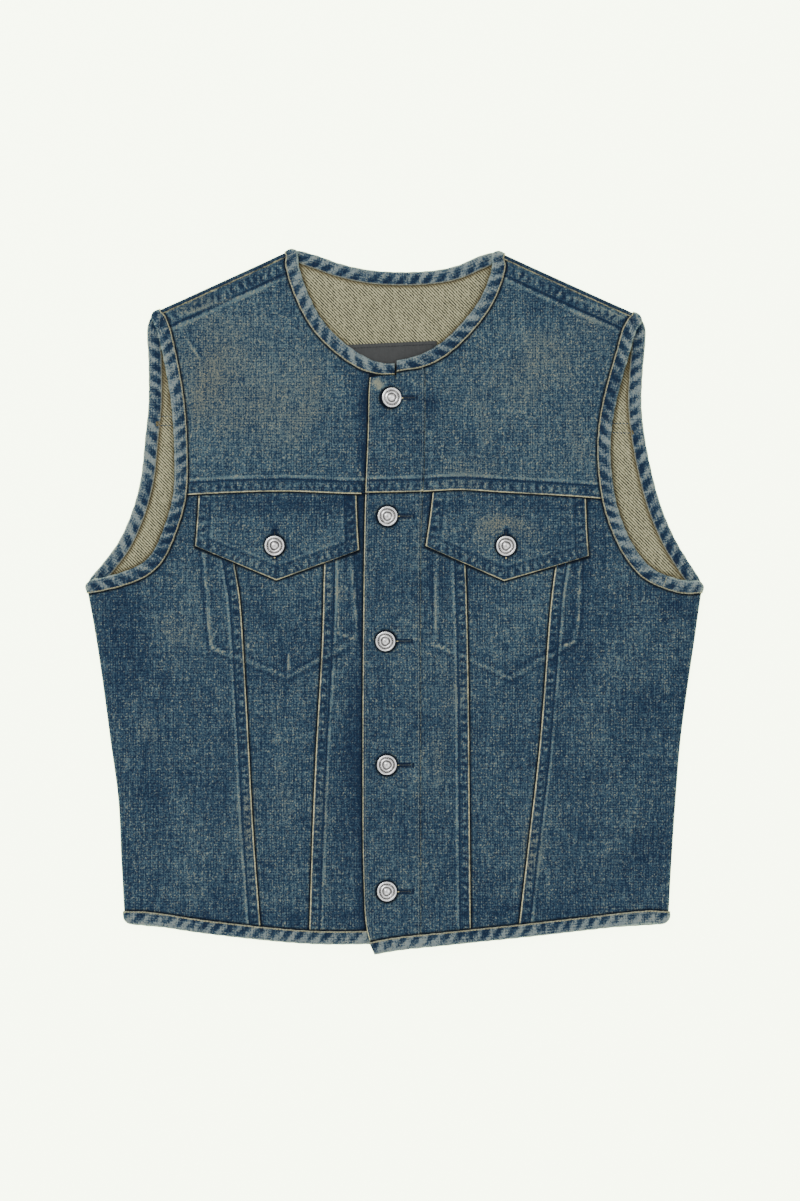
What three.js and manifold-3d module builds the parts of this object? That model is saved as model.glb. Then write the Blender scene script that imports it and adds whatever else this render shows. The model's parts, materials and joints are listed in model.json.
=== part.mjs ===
// A denim vest laid flat, face up: bound neck, armholes and hem, front yokes, slanting front seams,
// flapped chest pockets and shank buttons. Millimetres, +Z up, the neck towards +Y, resting on z = 0.
// Right and left are the wearer's: the right front is at -X, and the left front laps over it.
import * as THREE from "three";
import { mergeVertices } from "three/addons/utils/BufferGeometryUtils.js";
import Module from "manifold-3d";

const wasm = await Module();
wasm.setup();

// Cloth and how it is stacked
const CLOTH = 1; // thickness of one layer of denim
const DOUBLED = 2; // thickness of the placket
const GAP = 0.3; // between neighbours at a seam, and between layers
const BINDING_WIDTH = 11.5;
const BINDING_DEPTH = 3 * CLOTH + 0.8; // two leaves with the cloth loose between them
const CLOTH_INSET = 2.2; // from a bound edge to the edge of the cloth inside the binding
const BACK_Z = CLOTH / 2; // height of the middle of the back's cloth
const LAYER_RISE = BINDING_DEPTH + GAP; // from a layer up to the one whose binding lies on it
const ROLL = LAYER_RISE / 2; // radius at which the cloth turns over from back to front
const TANGENT = ROLL + CLOTH / 2; // from the outline in to where that turn begins
const FLAT_NEAR_BINDING = 18; // the cloth keeps the height of its binding this far from the edge
const LEVEL_FROM_BINDING = 36; // and has come down to its own height this far from it
const LAP_RISE = 1.9; // how far the lapping front's placket lies above the front under it
const LAP_FALLS = [24, 56]; // from and to this x the lapping front comes down to its own height
const SWELL_FROM_MIDDLE = [16, 50]; // the swells of the fronts grow over this x
const LEVEL_FROM_FOLD = [10, 45]; // and over this distance from a fold

// Seams
const SIDE_SEAM_UNDER = 8; // how far the right front comes round to the underside
const SHOULDER_OVER = 1.6; // how far the back yoke comes over the shoulder fold
const BEYOND = 16; // how far lines are carried on past the corners where they are cut
const SQUARE_TO_FOLD = 16; // a binding comes round square to a fold over this last stretch
const NARROWING = 30; // and narrows over this one to its end at the centre front
const STEP = 20; // usual length of a cell of the panels
const LONG_STEP = 26; // the same down the front
const BACK_STEP = 36; // and on the back, where the cloth is flatter
const EDGE_STEP = 15; // length of a cell of the neck and armhole bindings
const HEM_STEP = 20; // and of the hem binding

// Buttons and buttonholes
const BUTTON_RADIUS = 8.5;
const SHANK_RADIUS = 3;
const TACK_RADIUS = 4.5;
const BOSS_RADIUS = 2.6;
const EYELET_RADIUS = 3.4;
const SLIT_WIDTH = 1.4;
const TACK_HOLE_RADIUS = 1.7;
const TOOL_DEPTH = 20; // holes are cut from the floor to above the vest
const BUTTON_SIDES = 12;

// Label and colours
const LABEL = { left: -40.4, right: 36.1, top: 219, height: 50 };
const DENIM = { color: 0x3d5264, roughness: 0.9, metalness: 0 };
const BINDING_DENIM = { color: 0x5b6c72, roughness: 0.9, metalness: 0 };
const METAL = { color: 0xc8c8c6, roughness: 0.35, metalness: 1 };
const LEATHER = { color: 0x3b3e40, roughness: 0.6, metalness: 0 };

// A table of sections: each row has a number for each named column.
function table(columns, rows) {
  const names = columns.split(" ");
  return rows.map((row) => Object.fromEntries(names.map((name, i) => [name, row[i]])));
}

// Outline of the body below the arms: how far each side stands from the middle at height y.
const SIDES = table("y right left", [
  [40, -268, 268],
  [17, -263.1, 263.1],
  [2.5, -260.1, 260.5],
  [-34, -253.7, 255.4],
  [-68, -248.6, 250.3],
  [-119, -241.8, 243.5],
  [-170, -235, 239.3],
  [-221, -232.5, 235.9],
  [-266, -229.9, 233.3],
  [-300, -228.2, 231.5],
]);

const UNDERARM_Y = 17; // where the armhole bindings turn over the side folds
const HEM_CORNER_Y = -276; // and the hem binding

// Straight shoulder folds, from the neck out to the arm
const SHOULDERS = {
  right: table("x y", [[-82.9, 300.1], [-209.5, 242.2]]),
  left: table("x y", [[83.7, 298.3], [212.9, 239.7]]),
};

// Bound edges: the opening edge of each binding, with z the height of the middle of its cloth
const ARMHOLE_FRONT = {
  right: table("x y z", [
    [-206.1, 238, 6],
    [-201.9, 228.7, 6],
    [-198.5, 215, 6],
    [-190.3, 170, 4.9],
    [-187.4, 126.6, 4.9],
    [-188.3, 90.1, 4.9],
    [-195.5, 63.3, 4.9],
    [-206.1, 39.9, 5.1],
    [-216.3, 30.2, 5.6],
    [-234.2, 22.9, 6],
    [-250, 19, 6],
  ]),
  left: table("x y z", [
    [210.4, 236.3, 6],
    [204.4, 226.1, 6],
    [200.5, 212, 6],
    [188.3, 166.6, 4.9],
    [184, 135.2, 4.9],
    [185.4, 102.8, 4.9],
    [190.8, 75.6, 4.9],
    [203.6, 45.9, 4.9],
    [218, 28, 5.6],
    [233.3, 20.4, 6],
    [248, 16.6, 6],
  ]),
};
const ARMHOLE_BACK = {
  right: table("x y z", [
    [-210.6, 229.5, 1.9],
    [-209.5, 204, 1.9],
    [-209.5, 165.8, 1.9],
    [-212.1, 140.2, 1.9],
    [-216.3, 102, 1.9],
    [-223.1, 76.5, 1.9],
    [-234.2, 51, 1.9],
    [-246.9, 33.1, 1.9],
  ]),
  left: table("x y z", [
    [213.8, 229.5, 1.9],
    [211.2, 191.2, 1.9],
    [210.4, 165.8, 1.9],
    [212.9, 140.2, 1.9],
    [220.6, 102, 1.9],
    [228.2, 76.5, 1.9],
    [239.3, 51, 1.9],
    [249.5, 34, 1.9],
  ]),
};
const NECK_FRONT = {
  right: table("x y z", [
    [-81.2, 284.8, 6],
    [-72.7, 259.2, 5.6],
    [-59.9, 236.3, 4.9],
    [-41.2, 217.6, 4.9],
    [-20, 204.5, 4.7],
    [-8.1, 201.4, 4.6],
    [0.2, 201.2, 4.6],
  ]),
  left: table("x y z", [
    [82.9, 283.1, 6],
    [74.4, 259.2, 5.6],
    [61.6, 240.5, 5.3],
    [40.4, 219.3, 6],
    [21.7, 208.6, 6.5],
    [1.8, 203.4, 6.5],
  ]),
};
const NECK_BACK = table("x y z", [
  [-63.3, 292.4, 1.9],
  [-46.3, 286.4, 1.9],
  [-20.8, 280.9, 1.9],
  [8.9, 279.2, 1.9],
  [38.7, 281.3, 1.9],
  [55.7, 285.6, 1.9],
  [71, 292.4, 1.9],
]);
const HEM_FRONT = {
  right: table("x y z", [
    [14.9, -291.6, 6],
    [-29.3, -292.8, 6],
    [-63.3, -292.8, 6],
    [-97.3, -290.7, 6],
    [-165.3, -283.1, 6],
    [-199.3, -277.9, 6],
    [-214, -276.2, 6],
  ]),
  left: table("x y z", [
    [-16.8, -301.1, 10.2],
    [4.7, -297.5, 10.3],
    [38.7, -294.1, 8.8],
    [72.7, -290.7, 6.5],
    [106.7, -287.3, 6],
    [174.7, -279.6, 6],
    [208.7, -275.8, 6],
    [218, -275.2, 6],
  ]),
};
const HEM_BACK = table("x y z", [
  [-200, -278.5, 1.9],
  [-110, -284, 1.9],
  [0, -286, 1.9],
  [110, -283.5, 1.9],
  [205, -277.5, 1.9],
]);

// Seams of the fronts, each drawn a little past the seams that it meets
const YOKE_SEAM = {
  right: table("x y", [[-215, 86], [-176.4, 89.2], [-97.3, 92.2], [-32.7, 90.1], [30, 90.6]]),
  left: table("x y", [
    [-40, 90.8], [25.9, 92.1], [54.8, 93.5], [93.1, 91.3], [163.6, 87.1], [210, 82.5],
  ]),
};
const OUTER_SEAM = {
  right: table("x y", [
    [-148, 110], [-135.6, 28.1], [-131.3, 0.8], [-126.7, -70.5],
    [-123.7, -125], [-119.4, -204.8], [-112, -300],
  ]),
  left: table("x y", [
    [151, 110], [136.8, 28.1], [132.6, -5.1], [126.6, -85], [122, -136.8], [114.1, -204.8], [103, -300],
  ]),
};
const INNER_SEAM = {
  right: table("x y", [
    [-57.6, 110], [-59.9, 28.1], [-61.6, -34.9], [-66.7, -125], [-70.1, -204.8], [-73, -300],
  ]),
  left: table("x y", [[55.5, 110], [60.4, 28.1], [62.8, -58.6], [63.9, -170.8], [65, -300]]),
};
const PLACKET_SEAM = table("x y", [[26, 240], [25.6, 120], [22.8, 60], [22.4, -100], [22.4, -310]]);
const PLACKET_EDGE = table("x y", [
  [-20.2, 196], [-21.7, 176.8], [-22.4, 144.5], [-24.7, 86.7], [-26.2, 0], [-27, -125.8], [-26.2, -235],
  [-23.4, -279.6], [-15, -306],
]);
const PLACKET_TOP = table("x y", [[-30, 187.6], [-20.8, 189.3], [-10, 190.8], [6, 191.2]]);
const UNDER_EDGE_X = 14.6; // free edge of the right front, under the placket
const UNDER_TAB_Y = 190.8; // top of the right front beyond its binding
const NECK_ENDS = { right: 0, left: 2.2 }; // where each front leaves the neck binding for its tab
const NARROW_END = 9.4; // width of the neck binding at the centre front
const ARMHOLE_JOIN = { right: -12, left: 19 }; // section at which each ring of binding is joined
const BACK_YOKE_SEAM = table("x y", [[-240, 147.5], [240, 139.8]]);

// Pocket flaps, each edge from the yoke seam down to the point, and the bags behind the fronts
const FLAP = {
  right: {
    left: table("x y", [[-165.9, 100], [-167.6, 70], [-169.6, 45]]),
    right: table("x y", [[-32.6, 100], [-31.5, 65], [-30, 41.5]]),
    point: { x: -100.3, y: 16.6 },
  },
  left: {
    left: table("x y", [[33.4, 100], [30, 70], [26.2, 45]]),
    right: table("x y", [[162.5, 100], [163.6, 60], [165.4, 36.5]]),
    point: { x: 93.2, y: 16.1 },
  },
};
const BAG = {
  right: {
    left: table("x y", [[-163.5, 92], [-162.8, 37.4], [-158.9, -5.1], [-155.6, -42]]),
    right: table("x y", [[-38.5, 92], [-36, 30], [-32.4, -17], [-32.2, -35]]),
    point: { x: -91.4, y: -66.3 },
  },
  left: {
    left: table("x y", [[38, 92], [34.8, 24.6], [34.8, -20], [33, -38]]),
    right: table("x y", [[158.5, 92], [158, 30.6], [156.8, -20], [153.4, -36]]),
    point: { x: 98.6, y: -66.7 },
  },
};
const BAG_TOP_DROP = 12; // the bag starts this far below the yoke seam
const BAG_DEPTH = 1.1; // how much further a bag hangs from its front in the middle than at its edge

// Buttons down the front and on the flaps
const FRONT_BUTTONS = table("x y", [
  [-3.3, 171.9], [-6.1, 71.3], [-7.5, -34.9], [-6.5, -140.2], [-6.6, -247.7],
]);
const FLAP_BUTTONS = { right: { x: -101.8, y: 46.3 }, left: { x: 94.8, y: 46.1 } };
const FRONT_HOLE = { ahead: 21, behind: 4 };
const FLAP_HOLE = { ahead: 12, behind: 11 };

// Broad swells where the cloth lies over the pockets or eases between seams
const SWELLS = table("x y reach rise", [
  [-100, 30, 70, 0.7],
  [96, 30, 70, 0.7],
  [-165, -150, 75, 0.5],
  [178, -130, 70, 0.5],
  [-95, -190, 70, -0.3],
  [95, -200, 70, 0.3],
  [-120, 165, 75, 0.4],
  [120, 160, 75, 0.4],
]);

const clamp = (x) => Math.min(1, Math.max(0, x));
const mix = (a, b, share) => a + (b - a) * share;
const vector = (x, y, z = 0) => new THREE.Vector3(x, y, z);
const UP = vector(0, 0, 1);

// 0 below from, 1 above to, and smooth between them
function ease(from, to, x) {
  const share = clamp((x - from) / (to - from));
  return share * share * (3 - 2 * share);
}

// A line of short chords, measured along its length.
class Line {
  constructor(points) {
    this.points = points;
    this.cells = 1;
    this.far = [0];
    for (let i = 1; i < points.length; i++)
      this.far.push(this.far[i - 1] + points[i].distanceTo(points[i - 1]));
    this.length = this.far.at(-1);
  }
  // A smooth line through the rows of a table
  static through(rows, chords = 90) {
    const points = rows.map(({ x, y, z = 0 }) => vector(x, y, z));
    if (points.length === 2) return new Line(points);
    return new Line(new THREE.CatmullRomCurve3(points, false, "centripetal").getSpacedPoints(chords));
  }
  at(share) {
    const far = clamp(share) * this.length;
    let i = 1;
    while (i < this.far.length - 1 && this.far[i] < far) i++;
    const along = (far - this.far[i - 1]) / (this.far[i] - this.far[i - 1]);
    return this.points[i - 1].clone().lerp(this.points[i], along);
  }
  direction(share) {
    return this.at(share + 0.004).sub(this.at(share - 0.004)).setZ(0).normalize();
  }
  then(next) {
    return new Line([...this.points, ...next.points.slice(1)]);
  }
  moved(x, y) {
    return new Line(this.points.map((point) => point.clone().add(vector(x, y))));
  }
  part(from, to) {
    const [low, high] = [Math.min(from, to), Math.max(from, to)];
    const inner = this.points.filter((_, i) => {
      const share = this.far[i] / this.length;
      return share > low + 1e-4 && share < high - 1e-4;
    });
    const points = [this.at(low), ...inner, this.at(high)];
    return new Line(from < to ? points : points.reverse()).inCells(this.cells);
  }
  // The least number of cells that a panel has along this line
  inCells(cells) {
    this.cells = cells;
    return this;
  }
  shareOf(point) {
    const distances = this.points.map((other) => other.distanceTo(point));
    return this.far[distances.indexOf(Math.min(...distances))] / this.length;
  }
  // Where this line crosses another, as a share of each
  crossing(other) {
    for (let i = 1; i < this.points.length; i++)
      for (let j = 1; j < other.points.length; j++) {
        const [a, b] = [this.points[i - 1], this.points[i]];
        const [c, d] = [other.points[j - 1], other.points[j]];
        const [r, s] = [b.clone().sub(a), d.clone().sub(c)];
        const area = r.x * s.y - r.y * s.x;
        if (Math.abs(area) < 1e-9) continue;
        const t = ((c.x - a.x) * s.y - (c.y - a.y) * s.x) / area;
        const w = ((c.x - a.x) * r.y - (c.y - a.y) * r.x) / area;
        if (Math.min(t, w, 1 - t, 1 - w) < -1e-6) continue;
        return [
          mix(this.far[i - 1], this.far[i], t) / this.length,
          mix(other.far[j - 1], other.far[j], w) / other.length,
        ];
      }
    throw new Error("two seams that should meet do not cross");
  }
  // The nearest point, how far it is, and how far along
  nearest(x, y) {
    let [least, chord, along] = [Infinity, 1, 0];
    for (let i = 1; i < this.points.length; i++) {
      const a = this.points[i - 1];
      const dx = this.points[i].x - a.x;
      const dy = this.points[i].y - a.y;
      const t = clamp(((x - a.x) * dx + (y - a.y) * dy) / (dx * dx + dy * dy));
      const square = (x - a.x - t * dx) ** 2 + (y - a.y - t * dy) ** 2;
      if (square < least) [least, chord, along] = [square, i, t];
    }
    const point = this.points[chord - 1].clone().lerp(this.points[chord], along);
    return { distance: Math.sqrt(least), point };
  }
}

const levelLine = (y) => new Line([vector(-400, y), vector(400, y)]);
const uprightLine = (x) => new Line([vector(x, -400), vector(x, 400)]);

// A fold of the outline, where back and front are one cloth turned over: the line where the turn
// begins, and for a point how far it lies inside that line and which way is out.
function foldLine(rows, outward) {
  const outline = Line.through(rows);
  const at = (x, y) => {
    const { point } = outline.nearest(x, y);
    const inside = (point.x - x) * outward.x + (point.y - y) * outward.y - TANGENT;
    return { inside, out: outward, foot: vector(x, y).addScaledVector(outward, inside) };
  };
  return { outline, at };
}

// Outward direction of a straight fold line
function away(rows, side) {
  const along = vector(rows[1].x - rows[0].x, rows[1].y - rows[0].y).normalize();
  return vector(-along.y, along.x).multiplyScalar(side);
}
const SHOULDER_FOLD = {
  right: foldLine(SHOULDERS.right, away(SHOULDERS.right, -1)),
  left: foldLine(SHOULDERS.left, away(SHOULDERS.left, 1)),
};
const sideRows = (side) => SIDES.map((row) => ({ x: row[side], y: row.y }));
const SIDE_FOLD = {
  right: foldLine(sideRows("right"), vector(-1, 0)),
  left: foldLine(sideRows("left"), vector(1, 0)),
};

// A corner where a bound edge turns over a fold: its opening edge and the direction of the fold there.
function corner(rows, from, fold) {
  const across = vector(rows[1].x - rows[0].x, rows[1].y - rows[0].y).normalize();
  const edge = vector(from.x, from.y).addScaledVector(fold, -TANGENT);
  return { edge, across, out: fold };
}
function sideCorner(side, y, down) {
  const outline = SIDE_FOLD[side].outline;
  const onOutline = (level) => outline.at(outline.crossing(levelLine(level))[0]);
  const [first, second] = [y, y - down * BINDING_WIDTH].map(onOutline);
  return corner([first, second], first, vector(side === "right" ? -1 : 1, 0));
}
const NECK_CORNER = {};
const SHOULDER_CORNER = {};
const UNDERARM_CORNER = {};
const HEM_CORNER = {};
for (const side of ["right", "left"]) {
  const rows = SHOULDERS[side];
  const out = SHOULDER_FOLD[side].at(0, 0).out;
  NECK_CORNER[side] = corner(rows, rows[0], out);
  SHOULDER_CORNER[side] = corner([rows[1], rows[0]], rows[1], out);
  UNDERARM_CORNER[side] = sideCorner(side, UNDERARM_Y, 1);
  HEM_CORNER[side] = sideCorner(side, HEM_CORNER_Y, -1);
}

// A bound edge in one layer: rows from corner to corner, inside the side on which the cloth lies
// (1 for left of the way it runs), and the direction across it at each end.
function boundEdge(rows, inside, from, to) {
  const ends = (corner, row) => (corner.edge ? [{ x: corner.edge.x, y: corner.edge.y, z: row.z }] : []);
  const line = Line.through([...ends(from, rows[0]), ...rows, ...ends(to, rows.at(-1))]);
  const across = (share) => {
    const along = line.direction(share);
    const normal = vector(-along.y, along.x).multiplyScalar(inside);
    normal.lerp(from.across, 1 - ease(0, SQUARE_TO_FOLD, share * line.length));
    normal.lerp(to.across, 1 - ease(0, SQUARE_TO_FOLD, (1 - share) * line.length));
    return normal.setZ(0).normalize();
  };
  const width = (share) =>
    mix(to.width ?? BINDING_WIDTH, BINDING_WIDTH, ease(0, NARROWING, (1 - share) * line.length));
  // The edge of the cloth inside the binding, and how that edge is carried on past each end
  const cloth = new Line(line.points.map((point, i) =>
    point.clone().addScaledVector(across(line.far[i] / line.length), CLOTH_INSET)));
  const past = (point, way) => new Line([point.clone(), point.clone().addScaledVector(way, BEYOND)]);
  const first = past(cloth.at(0), from.out ?? line.direction(0).negate());
  const last = past(cloth.at(1), to.out ?? line.direction(1));
  return { line, across, width, cloth, first, last, whole: first.part(1, 0).then(cloth).then(last) };
}

const EDGE = {};
for (const [side, sign] of [["right", 1], ["left", -1]]) {
  const arm = [sign, SHOULDER_CORNER[side], UNDERARM_CORNER[side]];
  EDGE["armFront_" + side] = boundEdge(ARMHOLE_FRONT[side], ...arm);
  EDGE["armBack_" + side] = boundEdge(ARMHOLE_BACK[side], ...arm);
  EDGE["neck_" + side] = boundEdge(NECK_FRONT[side], -sign, NECK_CORNER[side], {
    across: vector(0, -1),
    width: NARROW_END,
  });
}
EDGE.neckBack = boundEdge(NECK_BACK, -1, NECK_CORNER.right, NECK_CORNER.left);
EDGE.hem_right = boundEdge(HEM_FRONT.right, -1, { across: vector(0, 1) }, HEM_CORNER.right);
EDGE.hem_left = boundEdge(HEM_FRONT.left, 1, { across: vector(-0.42, 0.91) }, HEM_CORNER.left);
EDGE.hemBack = boundEdge(HEM_BACK, 1, HEM_CORNER.right, HEM_CORNER.left);

// Height of the middle of the cloth. Near a bound edge it is the height of that edge.
function nearEdges(names, x, y, own) {
  let nearest = { distance: Infinity };
  for (const name of names) {
    const found = EDGE[name].line.nearest(x, y);
    if (found.distance < nearest.distance) nearest = found;
  }
  return mix(nearest.point.z, own, ease(FLAT_NEAR_BINDING, LEVEL_FROM_BINDING, nearest.distance));
}
const BACK_EDGES = ["neckBack", "armBack_right", "armBack_left", "hemBack"];
const backHeight = (x, y) => nearEdges(BACK_EDGES, x, y, BACK_Z);

function swell(x, y) {
  const share = (row) => 1 - ease(0, row.reach, Math.hypot(x - row.x, y - row.y));
  return SWELLS.reduce((sum, row) => sum + row.rise * share(row), 0);
}
function frontHeight(side, x, y) {
  const lap = side === "left" ? LAP_RISE * (1 - ease(...LAP_FALLS, x)) : 0;
  const quiet = ease(...SWELL_FROM_MIDDLE, Math.abs(x));
  const fold = y < UNDERARM_Y ? SIDE_FOLD[side] : SHOULDER_FOLD[side];
  const fromFold = ease(...LEVEL_FROM_FOLD, fold.at(x, y).inside);
  const own = mix(backHeight(x, y), BACK_Z + swell(x, y) * quiet, fromFold) + LAYER_RISE + lap;
  const free = nearEdges(["neck_" + side, "armFront_" + side, "hem_" + side], x, y, own);
  if (side === "right" || x > UNDER_EDGE_X + GAP) return free;
  return Math.max(free, frontHeight("right", x, y) + LAP_RISE);
}
const rightHeight = (x, y) => frontHeight("right", x, y);
const leftHeight = (x, y) => frontHeight("left", x, y);

// A point of the middle of a layer. Past the turning line of a fold it goes round the fold, down from
// the front (facing 1) or up from the back (facing -1).
function lay(x, y, height, facing, folds) {
  for (const fold of folds) {
    const { inside, out, foot } = fold.at(x, y);
    if (inside >= 0) continue;
    const angle = -inside / ROLL;
    const from = height(foot.x, foot.y);
    const flat = Math.max(0, angle - Math.PI) * ROLL;
    const turned = Math.min(angle, Math.PI);
    return foot
      .clone()
      .addScaledVector(out, ROLL * Math.sin(turned) - flat)
      .setZ(from - facing * ROLL * (1 - Math.cos(turned)));
  }
  return vector(x, y, height(x, y));
}

// One edge of a panel, made of one or more lines end to end; breaks are the shares where they meet, and
// stops are the breaks with the ends of the cells that a line asks for.
class Edge {
  constructor(lines, breaks) {
    this.lines = lines;
    this.length = lines.reduce((sum, line) => sum + line.length, 0);
    let far = 0;
    this.breaks = breaks ?? [0, ...lines.map((line) => (far += line.length) / this.length)];
  }
  at(share) {
    let k = 0;
    while (k < this.lines.length - 1 && share > this.breaks[k + 1]) k++;
    const [from, to] = [this.breaks[k], this.breaks[k + 1]];
    return this.lines[k].at((share - from) / (to - from));
  }
  get stops() {
    return this.lines.flatMap(({ cells }, k) =>
      Array.from({ length: cells + 1 }, (_, i) => mix(this.breaks[k], this.breaks[k + 1], i / cells)));
  }
  reversed() {
    const lines = this.lines.map((line) => line.part(1, 0)).reverse();
    return new Edge(lines, this.breaks.map((share) => 1 - share).reverse());
  }
}

// Four edges of a panel from lines that cross: each edge is a list of lines, and all of them in turn,
// round the panel, are cut where they cross the next one.
function edgesOf({ bottom, right, top, left }) {
  const loop = [...bottom, ...right, ...top, ...left];
  const cuts = loop.map((line, i) => line.crossing(loop[(i + 1) % loop.length]));
  const parts = loop.map((line, i) => line.part(cuts[(i + loop.length - 1) % loop.length][1], cuts[i][0]));
  const take = (lines) => new Edge(parts.splice(0, lines.length));
  const edges = { bottom: take(bottom), right: take(right) };
  edges.top = take(top).reversed();
  edges.left = take(left).reversed();
  // Opposite edges of as many lines meet at the same shares
  for (const [one, other] of [["bottom", "top"], ["left", "right"]]) {
    const [a, b] = [edges[one], edges[other]];
    if (a.lines.length === b.lines.length)
      a.breaks = b.breaks = a.breaks.map((share, i) => (share + b.breaks[i]) / 2);
  }
  return edges;
}

// Marks where the cells of a wall begin, each a share of its width and millimetres more: even from start
// through the breaks of both edges to end, with first and last at distances from the ends.
function marks([a, b], options = {}) {
  const { step = STEP, start = GAP / 2, end = GAP / 2, first = [], last = [], corners = [] } = options;
  const length = Math.max(a.length, b.length);
  const shares = [...a.stops, ...b.stops, ...corners.map((point) => a.lines[0].shareOf(point))];
  const stops = [...new Set(shares.map((share) => Number(share.toFixed(6))))].sort((p, q) => p - q);
  const even = [{ share: 0, mm: start }];
  for (let i = 1; i < stops.length; i++) {
    const cells = Math.max(1, Math.round(((stops[i] - stops[i - 1]) * length) / step));
    for (let k = 1; k <= cells; k++) {
      const from = i === 1 ? start : 0;
      const to = i === stops.length - 1 ? -end : 0;
      even.push({ share: mix(stops[i - 1], stops[i], k / cells), mm: mix(from, to, k / cells) });
    }
  }
  return [...first.map((mm) => ({ share: 0, mm })), ...even, ...last.map((mm) => ({ share: 1, mm: -mm }))];
}

// A wall of cloth: a box of cells whose points are moved to the middle surface that place gives for
// column i and row j, and half the thickness to either side of it.
function wall(columns, rows, place, thickness = () => CLOTH) {
  const box = new THREE.BoxGeometry(1, 1, 1, columns, rows, 1);
  box.deleteAttribute("normal");
  box.deleteAttribute("uv");
  const position = box.getAttribute("position");
  const spots = Array.from({ length: columns + 1 }, (_, i) =>
    Array.from({ length: rows + 1 }, (_, j) => place(i, j)));
  for (let k = 0; k < position.count; k++) {
    const i = Math.round((position.getX(k) + 0.5) * columns);
    const j = Math.round((position.getY(k) + 0.5) * rows);
    const { point, normal } = spots[i][j];
    const side = Math.sign(position.getZ(k)) * (thickness(point.x, point.y) / 2);
    position.setXYZ(k, point.x + side * normal.x, point.y + side * normal.y, point.z + side * normal.z);
  }
  return facingOut(mergeVertices(box, 1e-4));
}

// The same shape with its faces turned out, whichever way its cells ran
function facingOut(geometry) {
  const [position, index] = [geometry.getAttribute("position"), geometry.getIndex()];
  const [a, b, c] = [vector(0, 0), vector(0, 0), vector(0, 0)];
  let volume = 0;
  for (let i = 0; i < index.count; i += 3) {
    a.fromBufferAttribute(position, index.getX(i));
    b.fromBufferAttribute(position, index.getX(i + 1));
    c.fromBufferAttribute(position, index.getX(i + 2));
    volume += a.dot(b.cross(c));
  }
  if (volume < 0)
    for (let i = 0; i < index.count; i += 3) {
      const first = index.getX(i);
      index.setX(i, index.getX(i + 1));
      index.setX(i + 1, first);
    }
  geometry.computeVertexNormals();
  return geometry;
}

// A panel between four edges, its middle surface given by lift from flat x and y.
function panel(outline, { across, up, lift, thickness }) {
  const { bottom, right, top, left } = edgesOf(outline);
  const columns = marks([bottom, top], across);
  const rows = marks([left, right], up);
  const flat = (u, v) => {
    const low = bottom.at(0).lerp(bottom.at(1), u);
    const high = top.at(0).lerp(top.at(1), u);
    return bottom.at(u).lerp(top.at(u), v).add(left.at(v).lerp(right.at(v), u)).sub(low.lerp(high, v));
  };
  // How much of a share one millimetre is, at each end of a row or column
  const near = 0.01;
  const shareOfMm = (a, b) => near / Math.max(1e-6, a.distanceTo(b));
  const rowEnds = rows.map(({ share: v }) => [
    shareOfMm(flat(0, v), flat(near, v)),
    shareOfMm(flat(1 - near, v), flat(1, v)),
  ]);
  const columnEnds = columns.map(({ share: u }) => [
    shareOfMm(flat(u, 0), flat(u, near)),
    shareOfMm(flat(u, 1 - near), flat(u, 1)),
  ]);
  const spot = (u, v) => {
    const { x, y } = flat(u, v);
    return lift(x, y);
  };
  const place = (i, j) => {
    const [{ share: column, mm: along }, { share: row, mm: above }] = [columns[i], rows[j]];
    const u = column + along * mix(...rowEnds[j], column);
    const v = row + above * mix(...columnEnds[i], row);
    const e = 5e-4;
    const sideways = spot(Math.min(1, u + e), v).sub(spot(Math.max(0, u - e), v));
    const upwards = spot(u, Math.min(1, v + e)).sub(spot(u, Math.max(0, v - e)));
    return { point: spot(u, v), normal: sideways.cross(upwards).normalize() };
  };
  return wall(columns.length - 1, rows.length - 1, place, thickness);
}

// Sections along one layer of a bound edge: where it opens, the way across it and the way up
function runSections(edge, facing, step = EDGE_STEP) {
  const count = Math.max(2, Math.round(edge.line.length / step));
  return Array.from({ length: count + 1 }, (_, i) => {
    const share = i / count;
    const up = UP.clone().multiplyScalar(facing);
    return { open: edge.line.at(share), across: edge.across(share), up, width: edge.width(share) };
  });
}

// Sections round a fold, from the last section of one layer to the first of the other
function turnSections(section, out, steps = 6) {
  const facing = section.up.z;
  const centre = section.open.clone().addScaledVector(section.up, -ROLL);
  return Array.from({ length: steps - 1 }, (_, i) => {
    const angle = (Math.PI * (i + 1)) / steps;
    const up = UP.clone().multiplyScalar(facing * Math.cos(angle)).addScaledVector(out, Math.sin(angle));
    return { ...section, open: centre.clone().addScaledVector(up, ROLL), up };
  });
}

// A folded strip along its sections: a wall bent round the edge of the cloth, both leaves flat on it.
function foldedStrip(sections) {
  const middle = (BINDING_DEPTH - CLOTH) / 2; // from the cloth's middle to the middle of a leaf
  const nose = middle + CLOTH / 2; // from the opening edge to the centre of the bend
  const bends = [-90, -30, 30, 90];
  const strip = (width) => [
    [width, -middle],
    ...bends.map((degrees) => {
      const angle = THREE.MathUtils.degToRad(degrees);
      return [nose - middle * Math.cos(angle), middle * Math.sin(angle)];
    }),
    [width, middle],
  ];
  const spot = (i, j) => {
    const { open, across, up, width } = sections[i];
    const [inside, above] = strip(width)[j];
    return open.clone().addScaledVector(across, inside).addScaledVector(up, above);
  };
  const last = bends.length + 1;
  const place = (i, j) => {
    const along = spot(Math.min(i + 1, sections.length - 1), j).sub(spot(Math.max(i - 1, 0), j));
    const { across, up } = sections[i];
    // Straight off each leaf, and round with the bend between them
    const angle = THREE.MathUtils.degToRad(bends[Math.min(Math.max(j - 1, 0), bends.length - 1)]);
    const off = across.clone().multiplyScalar(-Math.cos(angle)).addScaledVector(up, Math.sin(angle));
    if (j === 0 || j === last) off.copy(up).multiplyScalar(Math.sign(angle));
    return { point: spot(i, j), normal: off.addScaledVector(along.normalize(), -off.dot(along)).normalize() };
  };
  return wall(sections.length - 1, last, place);
}

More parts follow.
